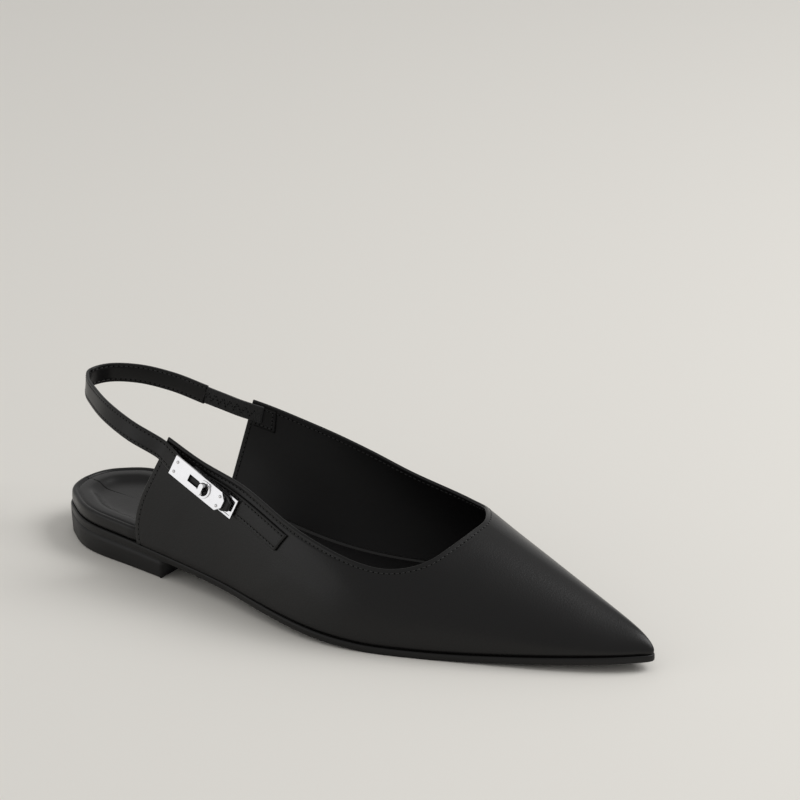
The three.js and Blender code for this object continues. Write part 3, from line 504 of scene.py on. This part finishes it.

# Stitching: thread ovals, and between them dark matte plugs of painted shade standing for the needle
# holes
STITCH_PITCH = 2.1
STITCH_LENGTH = 1.5
STITCH_RADIUS = 0.2
STITCH_CROWN = 0.10
STITCH_SUNK = 0.06
STITCH_RINGS = 6
STITCH_SIDES = 6
# Plugs of painted hole shade: sides, and rings as height out from the face and radius
HOLE_SIDES = 8
HOLE_RINGS = [(0.03, 0.33), (-0.1, 0.14)]
LIFT = 0.02


def even_places(points, step):
    """Fractional indices of even places along a path."""
    run = np.concatenate([[0], np.cumsum(np.linalg.norm(np.diff(points, axis=0), axis=1))])
    count = max(2, int(round(run[-1] / step)) + 1)
    return np.interp(np.linspace(0, run[-1], count), run, np.arange(len(points)))


def take(values, index):
    """Values at fractional indices."""
    low = np.clip(np.floor(index).astype(int), 0, len(values) - 2)
    share = (index - low)[:, None]
    return values[low] * (1 - share) + values[low + 1] * share


def ring(centre, radius, first, second, sides):
    turns = [2 * math.pi * s / sides for s in range(sides)]
    return [centre + radius * (first * math.cos(a) + second * math.sin(a)) for a in turns]


def tube_faces(base, rings, sides):
    """Faces of a short closed tube whose rings follow each other from a first vertex."""
    faces = []
    for a in range(base, base + (rings - 1) * sides, sides):
        for s in range(sides):
            q = (s + 1) % sides
            faces.append([a + s, a + q, a + sides + q, a + sides + s])
    last = base + (rings - 1) * sides
    return faces + [[base + s for s in range(sides)][::-1], [last + s for s in range(sides)]]


def stitch_row(points, normals, pitch=STITCH_PITCH, length=STITCH_LENGTH):
    """Short thread ovals along a path, with a dark plug of painted shade for the needle hole at each end:
    points, faces, indices.
    """
    index = even_places(points, pitch)
    centre, out = take(points, index), unit(take(normals, index))
    heading = unit(np.gradient(centre, axis=0))
    across = unit(np.cross(out, heading))
    out = np.cross(heading, across)
    verts, faces, indices = [], [], []
    for n in range(len(centre) - 1):
        middle = (centre[n] + centre[n + 1]) / 2
        made = tube_faces(len(verts), STITCH_RINGS, STITCH_SIDES)
        for t in np.linspace(0, math.pi, STITCH_RINGS):
            lift = STITCH_CROWN * math.sin(t) - STITCH_SUNK
            radius = STITCH_RADIUS * (0.25 + 0.75 * math.sin(t))
            place = middle - heading[n] * (length / 2 * math.cos(t)) + out[n] * lift
            verts += ring(place, radius, across[n], out[n], STITCH_SIDES)
        faces += made
        indices += [0] * len(made)
    # Dark plugs at the stitch ends, painted shade of the needle holes
    for n in range(len(centre)):
        made = [face[::-1] for face in tube_faces(len(verts), len(HOLE_RINGS), HOLE_SIDES)]
        for height, radius in HOLE_RINGS:
            verts += ring(centre[n] + out[n] * height, radius, heading[n], across[n], HOLE_SIDES)
        faces += made
        indices += [1] * len(made)
    return verts, faces, indices


def add_stitching(name, rows, slot="leather"):
    """One mesh of stitch rows, each given as points, normals and, where they differ, pitch and length."""
    verts, faces, indices = [], [], []
    for points, normals, *gauge in rows:
        row_verts, row_faces, row_indices = stitch_row(points, normals, *gauge)
        faces += [[k + len(verts) for k in face] for face in row_faces]
        verts += row_verts
        indices += row_indices
    add_mesh(name, verts, faces, [THREAD, PINHOLE_SHADE], slot=slot, indices=indices)


# Upper: one grid from the lateral back edge round the toe to the medial one
ALONG, UP = ((420, 64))
ROW_FROM_EDGE = 1.7
SEAM_DEPTH, SEAM_WIDTH = 0.12, 0.5
SWELL_HEIGHT, SWELL_FROM_EDGE, SWELL_WIDTH = 0.10, 0.6, 0.45
FEATHER_DEPTH, FEATHER_WIDTH, FEATHER_ENDS = 0.35, 0.8, 3.0
FOOT_DROP, FOOT_INSET = 0.3, 0.15
CORNER_SHARE = 0.9


def upper_grid():
    u = np.linspace(0, 1, ALONG + 1)
    v = np.linspace(0, 1, UP + 1)
    u = lerp(u, ease(0, 1, u), 0.35)
    v = lerp(v, np.sin(v * math.pi / 2), 0.55)
    return upper_place(*np.meshgrid(u, v, indexing="ij"))


def grid_runs(points, axis):
    """Distances over the grid along an axis, from its first line and from its last."""
    step = np.linalg.norm(np.diff(points, axis=axis), axis=-1)
    none = np.zeros_like(np.take(step, [0], axis=axis))
    back = np.cumsum(np.flip(step, axis), axis=axis)
    return (np.concatenate([none, np.cumsum(step, axis=axis)], axis=axis),
            np.flip(np.concatenate([none, back], axis=axis), axis))


across_grid, up_grid = upper_grid()
face_points = last_point(across_grid, up_grid)
face_normals = last_normal(across_grid, up_grid)
face_normals[:, 0, 2] = 0
face_normals = unit(face_normals)
from_feather, from_top = grid_runs(face_points, 1)
from_lateral, from_medial = grid_runs(face_points, 0)


def upper_relief():
    """Height of the creases, the sunk seam, the swell beside it and the tuck at the feather line."""
    relief = np.zeros(face_points.shape[:2])
    for middle, heading, long, wide, depth in CREASES:
        way = unit(np.array(heading, float))
        offset = face_points - np.array(middle, float)
        run = offset @ way
        aside = np.linalg.norm(offset - run[..., None] * way, axis=-1)
        relief += depth * np.exp(-(run / long)**2 - (aside / wide)**2)
    edge = np.minimum(np.minimum(from_top, from_lateral), from_medial)
    relief -= SEAM_DEPTH * np.exp(-((edge - ROW_FROM_EDGE) / SEAM_WIDTH)**2)
    relief += SWELL_HEIGHT * np.exp(-((edge - SWELL_FROM_EDGE) / SWELL_WIDTH)**2)
    ends = ease(0.0, FEATHER_ENDS, from_lateral) * ease(0.0, FEATHER_ENDS, from_medial)
    return relief - FEATHER_DEPTH * np.exp(-(from_feather / FEATHER_WIDTH)**2) * ends


outer = face_points + face_normals * upper_relief()[..., None]


def wall_loops():
    """Loops round the wall: its foot, outer face, rolled lip and lining."""
    inner = face_points - face_normals * WALL
    up_way = unit(np.gradient(face_points, axis=1)[:, -1])
    rim = np.stack([face_points[:, -1] + face_normals[:, -1] * n + up_way * t for n, t in LIP], axis=1)
    drop = np.array([0, 0, -FOOT_DROP])
    foot_out = (outer[:, 0] + drop - face_normals[:, 0] * FOOT_INSET)[:, None]
    foot_in = (inner[:, 0] + drop)[:, None]
    return np.concatenate([foot_out, outer, rim, inner[:, ::-1], foot_in], axis=1)


def back_loops(loop, way):
    """Loops that round the wall's back edge, from its last whole loop outwards."""
    ways = np.concatenate([way[:1], way, np.repeat(way[-1:], len(LIP), 0), way[::-1], way[:1]])
    toward = (loop[::-1] - loop) / 2
    return [loop + toward * pull + ways * stand for pull, stand in BACK_ROUND]


def add_upper():
    loops = wall_loops()
    way = unit(np.gradient(face_points, axis=0))
    start, finish = back_loops(loops[0], -way[0]), back_loops(loops[-1], way[-1])
    loops = np.concatenate([start[::-1], loops, finish])
    rows, count = loops.shape[:2]
    faces = loft_faces(rows, count, count - 1, flip=True)
    columns = np.tile(np.arange(count), rows - 1)
    lining_from = 1 + (UP + 1) + LIP_OUTSIDE
    indices = (columns >= lining_from).astype(int).tolist() + [0] * (len(faces) - len(columns))
    add_mesh("upper_leather", loops.reshape(-1, 3), faces, [CALF, LINING], replaces=["upper"],
             indices=indices)


def edge_paths(distance):
    """Paths on the outer face at a distance from its edges: lateral back, medial back, top."""
    corner = distance * CORNER_SHARE
    paths = []
    for gauge, medial in ((from_lateral, False), (from_medial, True)):
        rows = []
        for j in range(UP + 1):
            line = gauge[::-1, j] if medial else gauge[:, j]
            i = np.interp(distance, line, np.arange(ALONG + 1))
            i = np.array([ALONG - i if medial else i])
            if take(from_top[:, j][:, None], i)[0, 0] < corner:
                break
            rows.append((take(outer[:, j], i)[0], take(face_normals[:, j], i)[0]))
        paths.append(rows)
    rows = []
    for i in range(ALONG + 1):
        if min(from_lateral[i, -1], from_medial[i, -1]) < corner:
            continue
        j = np.array([np.interp(-distance, -from_top[i], np.arange(UP + 1))])
        rows.append((take(outer[i], j)[0], take(face_normals[i], j)[0]))
    paths.append(rows)
    return [[np.array(part) for part in zip(*rows)] for rows in paths]


def add_upper_stitching():
    paths = edge_paths(ROW_FROM_EDGE)
    add_stitching("upper_stitching", paths)
    add_stitching("lining_stitching", [(p - n * (WALL + LIFT), -n) for p, n in paths])


# Sole, heel and insole
SOLE_STEPS = 260
HEEL_STEPS = 70
INSOLE_STEPS = 150
BEHIND_HEEL = (0.002, 0.02)
SPINE_FROM = 0.1


def loop_places(end, steps):
    """Shares of length and sides round the outline, from its back over an end and home again."""
    angle = float(station(end)) * np.arange(steps + 1) / steps
    shares = (1 - np.cos(angle)) / 2
    shares[-1] = end
    back = shares[1:] if end < 1 else shares[1:-1]
    at = np.concatenate([shares, back[::-1]])
    side = np.concatenate([-np.ones(steps + 1), np.ones(len(back))])
    return at, side


def outline_plan(at, side):
    return np.stack([length_at(at), outline_side(at, side)], -1)


def drawn_in(points, inset):
    """Closed outline moved inwards by a distance that may vary along it."""
    way = np.roll(points, -1, axis=0) - np.roll(points, 1, axis=0)
    inwards = unit(np.stack([-way[:, 1], way[:, 0]], -1))
    return points + inwards * np.broadcast_to(inset, len(points))[:, None]


def add_sole():
    at, side = loop_places(1, SOLE_STEPS)
    plan = outline_plan(at, side)
    free = ease(HEEL_SHARE + BEHIND_HEEL[0], HEEL_SHARE + BEHIND_HEEL[1], at)
    levels = []
    for inset, lift, only_free in SOLE_EDGE_ROWS:
        edge = drawn_in(plan, inset * free if only_free else inset)
        levels.append(np.column_stack([edge, sole_under(at) + lift]))
    faces = loft_faces(len(levels), len(at), len(at))
    walls = (len(levels) - 1) * len(at)
    under = (len(faces) - walls) // 2
    indices = [0] * walls + [1] * under + [0] * under
    add_mesh("sole_leather", np.concatenate(levels), faces, [SOLE_EDGE, SOLE_UNDER],
             replaces=["outsole"], slot="sole", indices=indices)


def add_heel():
    at, side = loop_places(HEEL_SHARE, HEEL_STEPS)
    plan = outline_plan(at, side)
    narrow = 1 - 2 * HEEL_TAPER / HEEL_LENGTH
    levels = []
    for inset, share, lift in HEEL_ROWS:
        outline = drawn_in(plan * lerp(narrow, 1, share), inset)
        levels.append(np.column_stack([outline, lift + sole_under(at) * share]))
    faces = loft_faces(len(levels), len(at), len(at))
    add_mesh("heel_leather", np.concatenate(levels), faces, HEEL_LEATHER, replaces=["heel"], slot="sole")


def insole_side(at, side, rise):
    """Edge of the insole: in from the sole's outline at the open seat, and inside the wall further on."""
    seat = outline_side(at, side) - side * SEAT_INSET
    foot = np.where(side < 0, QUARTER_FOOT_LATERAL, QUARTER_FOOT_MEDIAL)
    under = ease(foot - 0.02, foot - 0.002, at)
    safe = np.clip(at, SECTIONS[0][0], 1)
    around = around_at_height(safe, side, feather_height(safe) + rise)
    face = on_upper(safe, around, 0 * safe)
    lean = np.abs((on_upper(safe, around, 1 + 0 * safe) - face)[..., 1])
    wall = face[..., 1] - side * (WALL + 0.05) / lean
    return np.where(under > 0, lerp(seat, wall, under), seat)


def add_insole():
    at, side = loop_places(INSOLE_END, INSOLE_STEPS)
    height = lerp(SEAT_HEIGHT, FORE_HEIGHT, ease(0.3, 0.5, at))
    dish = SEAT_DISH * (1 - ease(0.28, 0.46, at))
    spine_width = float(outline_side(SPINE_FROM, 1) - outline_side(SPINE_FROM, -1))
    spine_start, spine_end = HEEL_BACK + spine_width / 2, length_at(INSOLE_END) - FORE_HEIGHT
    middle = (outline_side(at, -1) + outline_side(at, 1)) / 2
    levels = []
    for inset, share, drop, dished in INSOLE_ROWS:
        rise = np.maximum(0, height * share - drop - dish * dished)
        edge = np.stack([length_at(at), insole_side(at, side, height * share)], -1)
        spine = np.stack([np.clip(edge[:, 0], spine_start, spine_end), middle], -1)
        room = np.linalg.norm(edge - spine, axis=1)
        moved = edge + (spine - edge) * (np.tanh(inset / room))[:, None]
        below = sole_under((moved[:, 0] - HEEL_BACK) / SOLE_LENGTH)
        levels.append(np.column_stack([moved, below + SOLE_THICKNESS + LIFT + rise]))
    faces = loft_faces(len(levels), len(at), len(at))
    add_mesh("insole_leather", np.concatenate(levels), faces, FOOTBED, replaces=["insole"])


# Strap, from under the clasp plate round the heel
clasp_foot = on_upper(np.array(CLASP_AT), np.array(CLASP_AROUND), 0.0)
out_way = unit(on_upper(np.array(CLASP_AT), np.array(CLASP_AROUND), 1.0) - clasp_foot)
level_way = unit(np.cross([0, 0, 1], out_way))
along_way = np.array(Matrix.Rotation(-CLASP_PITCH, 3, Vector(out_way)) @ Vector(level_way))
across_way = np.cross(out_way, along_way)

BASE_BOTTOM = TAB_THICKNESS + 2 * CLEARANCE + CLASP_STAND
STRAP_BOTTOM = BASE_BOTTOM + BASE_THICKNESS + CLEARANCE
STRAP_DROP = STRAP_BOTTOM - 2.5 * CLEARANCE
PLATE_BACK = -POST_FROM_BACK
PLATE_FRONT = PLATE_BACK + PLATE_LENGTH
STRAP_STEPS = 260
STRAP_ROW = STRAP_WIDTH / 2 - 1.2
STRAP_HIDDEN = 0.2
TACK_BEHIND_PLATE = 11.5
TACK_POINTS = 12
TACK_INSET = 0.5
NEAR_OUT, NEAR_ACROSS = 8, 6
DRAWN_UNDER, DRAWN_TAIL = 0.2, 0.3
END_STEP = 0.2


def catmull(points, t):
    """Centripetal Catmull-Rom curve through the points, at shares of their count."""
    points = np.asarray(points, float)
    spans = len(points) - 1
    place = spans * np.clip(t, 0, 1)
    i = np.minimum(np.floor(place).astype(int), spans - 1)
    w = (place - i)[:, None]
    padded = np.vstack([2 * points[0] - points[1], points, 2 * points[-1] - points[-2]])
    p0, p1, p2, p3 = (padded[i + k] for k in range(4))
    d0, d1, d2 = (np.maximum(np.sum((b - a)**2, 1)**0.25, 1e-4)[:, None]
                  for a, b in ((p0, p1), (p1, p2), (p2, p3)))
    t1 = ((p1 - p0) / d0 - (p2 - p0) / (d0 + d1) + (p2 - p1) / d1) * d1
    t2 = ((p2 - p1) / d1 - (p3 - p1) / (d1 + d2) + (p3 - p2) / d2) * d1
    return p1 + t1 * w + (-3 * p1 + 3 * p2 - 2 * t1 - t2) * w**2 + (2 * p1 - 2 * p2 + t1 + t2) * w**3


def band_frame(centres, acrosses, steps):
    """Centre, across, out and forward ways along a band through its centre points."""
    t = np.linspace(0, 1, steps + 1)
    centre = catmull(centres, t)
    ahead, behind = catmull(centres, np.minimum(t + 1e-4, 1)), catmull(centres, np.maximum(t - 1e-4, 0))
    tangent = unit(ahead - behind)
    across = catmull(acrosses, t)
    across = unit(across - tangent * np.sum(across * tangent, 1)[:, None])
    return centre, across, unit(np.cross(tangent, across)), tangent


def add_band(name, rows, profile, material, width=None, **keys):
    """Band of a section along its rows, with softened ends; width gives each row's share."""
    centre, across, out, tangent = rows
    share = np.ones(len(centre)) if width is None else width
    loops = (centre[:, None] + across[:, None] * profile[None, :, :1] * share[:, None, None]
             + out[:, None] * profile[None, :, 1:])
    ends = []
    for index, sign in ((0, -1), (-1, 1)):
        small = profile * np.array([share[index] - 0.25 / abs(profile[:, 0]).max(), 0.55])
        ends.append(centre[index] + across[index] * small[:, :1] + out[index] * small[:, 1:]
                    + tangent[index] * sign * END_STEP)
    loops = np.concatenate([ends[0][None], loops, ends[1][None]])
    faces = loft_faces(len(loops), len(profile), len(profile) - 1, flip=True)
    add_mesh(name, loops.reshape(-1, 3), faces, material, **keys)


def strap_run():
    """Centres and across ways of the strap's free run."""
    centres = [np.array([STRAP_BACK + STRAP_REACH * forward, BALL_WIDTH * side, STRAP_HEIGHT * height])
               for forward, side, height, _ in STRAP_RUN]
    acrosses = []
    for i, (_, _, _, lean) in enumerate(STRAP_RUN):
        way = centres[min(i + 1, len(centres) - 1)] - centres[max(i - 1, 0)]
        way[2] = 0
        inwards = np.cross(unit(way), [0, 0, 1])
        angle = math.radians(lean)
        acrosses.append(np.array([0, 0, math.cos(angle)]) + inwards * math.sin(angle))
    return centres, acrosses


run_centres, run_acrosses = strap_run()


def strap_rows():
    """The whole strap: its end under the plate, the bend behind the plate and the free run."""
    hold = [(PLATE_FRONT + STRAP_TAIL, 0), (PLATE_FRONT / 2, 0), (PLATE_BACK / 2, 0), (PLATE_BACK, 0),
            (PLATE_BACK - 0.1 * STRAP_OVERLAP, 0.1), (PLATE_BACK - 0.5 * STRAP_OVERLAP, 0.6),
            (PLATE_BACK - STRAP_OVERLAP, 1)]
    middle_out = STRAP_BOTTOM + STRAP_THICKNESS / 2
    held = [clasp_foot + along_way * along + out_way * (middle_out - STRAP_DROP * drop)
            for along, drop in hold]
    return band_frame(held + run_centres, [across_way] * len(held) + run_acrosses, STRAP_STEPS)


def add_strap():
    rows = strap_rows()
    centre, across, out, _ = rows
    offset = centre - clasp_foot
    from_post, off_plate = offset @ along_way, np.abs(offset @ out_way)
    under_plate = (off_plate < NEAR_OUT) & (np.abs(offset @ across_way) < NEAR_ACROSS)
    width = np.where(under_plate, 1 - DRAWN_UNDER * ease(PLATE_BACK, PLATE_BACK + 3, from_post), 1)
    tail = ease(PLATE_FRONT - 0.6, PLATE_FRONT + STRAP_TAIL, from_post)
    width = width - np.where(under_plate, DRAWN_TAIL * tail, 0)
    add_band("strap_leather", rows, rounded(STRAP_WIDTH, STRAP_THICKNESS, 0.45, grooves=(STRAP_ROW,)),
             CALF, width=width, replaces=["back_strap"])

    seams = []
    shown = slice(int(len(centre) * STRAP_HIDDEN), None)
    for edge in (-1, 1):
        for face in (-1, 1):
            path = centre + across * edge * STRAP_ROW + out * face * (STRAP_THICKNESS / 2 - 0.07)
            seams.append((path[shown], out[shown] * face))
    behind = np.abs(from_post - (PLATE_BACK - TACK_BEHIND_PLATE))
    k = int(np.argmin(np.where(off_plate > NEAR_OUT, np.inf, behind)))
    tack = np.linspace(-STRAP_ROW + TACK_INSET, STRAP_ROW - TACK_INSET, TACK_POINTS)
    path = centre[k] + tack[:, None] * across[k] + out[k] * (STRAP_THICKNESS / 2 + LIFT)
    seams.append((path, np.repeat(out[k][None], TACK_POINTS, 0), 1.3, 0.9))
    add_stitching("strap_stitching", seams)


# Tab on the quarter, under the clasp
TAB_STEPS = 61
TAB_ROW_INSET = 1.3
TAB_SEAM_START = 0.2
TAB_SEAM_POINTS, TAB_END_POINTS = 60, 9
AROUND_NUDGE = 0.01


def tab_place(share, across, out):
    """Point of the tab at a share of its length and a distance across, out from the upper."""
    share_across = 2 * across / TAB_WIDTH
    back = CLASP_AT - TAB_TUCK / SOLE_LENGTH
    at = back + TAB_LENGTH / SOLE_LENGTH * share * (1 + TAB_SLANT * share_across)
    low = on_upper(at, CLASP_AROUND - AROUND_NUDGE + 0 * at, 0 * at)
    high = on_upper(at, CLASP_AROUND + AROUND_NUDGE + 0 * at, 0 * at)
    half = AROUND_NUDGE * TAB_WIDTH / np.linalg.norm(high - low, axis=-1)
    return on_upper(at, CLASP_AROUND + share_across * half, out + 0 * at)


def add_tab():
    row = TAB_WIDTH / 2 - TAB_ROW_INSET
    profile = rounded(TAB_WIDTH, TAB_THICKNESS, 0.4, grooves=(row,))
    shares = np.concatenate([[-0.003], np.linspace(0, 1, TAB_STEPS), [1.004]])
    share, k = np.meshgrid(shares, np.arange(len(profile)), indexing="ij")
    points = tab_place(share, profile[k, 0] * less_at_ends(len(shares), 0.96),
                       0.05 + TAB_THICKNESS / 2 + profile[k, 1] * less_at_ends(len(shares), 0.5))
    faces = loft_faces(len(shares), len(profile), len(profile) - 1, flip=True)
    add_mesh("tab_leather", points.reshape(-1, 3), faces, CALF, replaces=["clasp_tab"])

    lift = TAB_THICKNESS - LIFT
    end = 1 - TAB_ROW_INSET / TAB_LENGTH
    lane = np.linspace(TAB_SEAM_START, end, TAB_SEAM_POINTS)
    turn = np.linspace(row, -row, TAB_END_POINTS)
    seams = []
    for share, across in ((lane, np.full_like(lane, row)), (np.full_like(turn, end), turn),
                          (lane[::-1], np.full_like(lane, -row))):
        path = tab_place(share, across, lift)
        seams.append((path, unit(path - tab_place(share, across, lift - 1))))
    add_stitching("tab_stitching", seams)


# Elastic, and the patch that holds it inside the medial quarter
ELASTIC_STEPS = 70
ZIGZAG_POINTS = 64
ZIGZAG_SWAY = 1.6
ZIGZAG_TURN = 4
ELASTIC_STITCH = (1.5, 1.2)
PATCH_STEPS = 25
PATCH_END = 0.0006
PATCH_ROW_INSET = 1.1
PATCH_SEAM_POINTS = 12
PATCH_STITCH = (1.7, 1.25)
medial_top = np.array([(at, around) for at, around in TOP_LINE if around > 0.7][::-1]).T


def medial_top_height(at):
    """Height of the patch's upper edge, a little under the medial top line."""
    at = np.asarray(at, float)
    return on_upper(at, np.interp(at, *medial_top), 0 * at)[..., 2] - PATCH_DROP


def inside_point(at, lift):
    """Middle of the elastic inside the medial quarter."""
    at = np.array(at, float)
    held_height = medial_top_height(PATCH_BACK) - ELASTIC_WIDTH / 2
    height = held_height + lift + ELASTIC_FALL * SOLE_LENGTH * (PATCH_BACK - at)
    out = -WALL - 0.05 - ELASTIC_THICKNESS / 2 + 0 * at
    return on_upper(at, around_at_height(at, 1, height), out)


def add_elastic():
    heading = unit(run_centres[-1] - run_centres[-2])
    quarter_up = unit(inside_point(PATCH_BACK, 2) - inside_point(PATCH_BACK, -2))
    last, entry = run_centres[-1], inside_point(ELASTIC_ENTRY, 0)
    centres = [last - heading * 1.2, last + heading * 0.3, lerp(last, entry, 0.5), entry,
               inside_point(PATCH_BACK + ELASTIC_HELD / SOLE_LENGTH, 0)]
    last_across = run_acrosses[-1]
    acrosses = [last_across] + [unit(lerp(last_across, quarter_up, s)) for s in (0, 0.4, 0.8, 1)]
    rows = band_frame(centres, acrosses, ELASTIC_STEPS)
    add_band("elastic_band", rows, rounded(ELASTIC_WIDTH, ELASTIC_THICKNESS, 0.3), WOVEN,
             replaces=["elastic"], slot="elastic")

    centre, across, out, _ = rows
    k = (np.linspace(0.1, 0.92, ZIGZAG_POINTS) * (len(centre) - 1)).astype(int)
    wave = np.abs((np.arange(ZIGZAG_POINTS) / ZIGZAG_TURN) % 2 - 1) * 2 - 1
    middle = centre[k] + across[k] * (ZIGZAG_SWAY * wave)[:, None]
    off = out[k] * (ELASTIC_THICKNESS / 2 + LIFT)
    seams = [(middle - off, -out[k], *ELASTIC_STITCH), (middle + off, out[k], *ELASTIC_STITCH)]
    add_stitching("elastic_stitching", seams, "elastic")


def patch_place(at, across, out):
    around = around_at_height(at, 1, medial_top_height(at) - PATCH_WIDTH / 2 + across)
    return on_upper(at, around, out)


def add_patch():
    patch_at = np.linspace(PATCH_BACK, PATCH_BACK + PATCH_LENGTH / SOLE_LENGTH, PATCH_STEPS)
    row_at = np.concatenate([[patch_at[0] - PATCH_END], patch_at, [patch_at[-1] + PATCH_END]])
    profile = rounded(PATCH_WIDTH, PATCH_SHOWN, 0.5)
    at, k = np.meshgrid(row_at, np.arange(len(profile)), indexing="ij")
    out = -WALL - LIFT - PATCH_SHOWN / 2 - profile[k, 1] * less_at_ends(len(row_at), 0.5)
    points = patch_place(at, profile[k, 0] * less_at_ends(len(row_at), 0.95), out)
    faces = loft_faces(len(row_at), len(profile), len(profile) - 1, flip=True)
    add_mesh("patch_leather", points.reshape(-1, 3), faces, LINING, replaces=["elastic_patch"])

    seams = []
    inset = PATCH_WIDTH / 2 - PATCH_ROW_INSET
    back, front = patch_at[3], patch_at[-4]
    corners = [(back, inset), (front, inset), (front, -inset), (back, -inset)]
    t = np.linspace(0, 1, PATCH_SEAM_POINTS)
    for (at0, across0), (at1, across1) in zip(corners, corners[1:] + corners[:1]):
        at, across = lerp(at0, at1, t), lerp(across0, across1, t)
        out = -WALL - PATCH_SHOWN - 0.03 + 0 * t
        path = patch_place(at, across, out)
        seams.append((path, unit(path - patch_place(at, across, out + 1)), *PATCH_STITCH))
    add_stitching("patch_stitching", seams)


# Clasp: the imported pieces, with softened edges
CLASP_NODES = ["clasp_base", "clasp_plate", "turn_knob", "rivet_back_low", "rivet_back_high",
               "rivet_front_low", "rivet_front_high"]
CLASP_EDGE = 0.12


def finish_clasp():
    for name in CLASP_NODES:
        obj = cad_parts[name]
        obj.data.materials.clear()
        obj.data.materials.append(SILVER)
        soft = obj.modifiers.new("edge", "BEVEL")
        soft.width = CLASP_EDGE * MM
        soft.segments = 2
        soft.limit_method = "ANGLE"
        soft.angle_limit = math.radians(40)
        soft.harden_normals = True


# Floor, light and camera, in metres
FLOOR_REACH = 4
CAMERA_PLACE = (0.8317865, -1.1184410, 0.6011730)
CAMERA_TURN = (68.73407, -0.15577, 32.35142)
CAMERA_LENS = 164.907
scene = bpy.context.scene


def add_floor():
    mesh = bpy.data.meshes.new("floor")
    corners = [(-1, -1), (1, -1), (1, 1), (-1, 1)]
    mesh.from_pydata([(FLOOR_REACH * x, FLOOR_REACH * y, 0) for x, y in corners], [], [(0, 1, 2, 3)])
    mesh.materials.append(paper_material())
    floor = bpy.data.objects.new("floor", mesh)
    scene.collection.objects.link(floor)


def set_world():
    scene.view_settings.view_transform = "Standard"
    world = bpy.data.worlds.new("studio")
    world.use_nodes = True
    world.node_tree.nodes["Background"].inputs["Color"].default_value = (1.0, 0.99, 0.975, 1)
    world.node_tree.nodes["Background"].inputs["Strength"].default_value = 0.52
    scene.world = world


def add_softbox(name, place, aim, size, energy):
    light = bpy.data.lights.new(name, "AREA")
    light.shape = "RECTANGLE"
    light.size, light.size_y = size
    light.energy = energy
    obj = bpy.data.objects.new(name, light)
    obj.location = place
    obj.rotation_euler = (Vector(aim) - Vector(place)).to_track_quat("-Z", "Y").to_euler()
    scene.collection.objects.link(obj)


def add_camera():
    data = bpy.data.cameras.new("camera")
    data.lens, data.sensor_width = CAMERA_LENS, 36
    camera = bpy.data.objects.new("camera", data)
    camera.location = CAMERA_PLACE
    camera.rotation_euler = Euler([math.radians(angle) for angle in CAMERA_TURN])
    scene.collection.objects.link(camera)
    scene.camera = camera


add_upper()
add_upper_stitching()
add_sole()
add_heel()
add_insole()
add_strap()
add_tab()
add_elastic()
add_patch()
finish_clasp()
add_floor()
set_world()
add_softbox("key", (1.05, 0.75, 1.2), (0.1, 0, 0.02), (1.1, 1.1), 16.0)
add_softbox("fill", (-0.9, -1.1, 0.35), (0.1, 0, 0.03), (1.2, 0.6), 1.6)
add_camera()
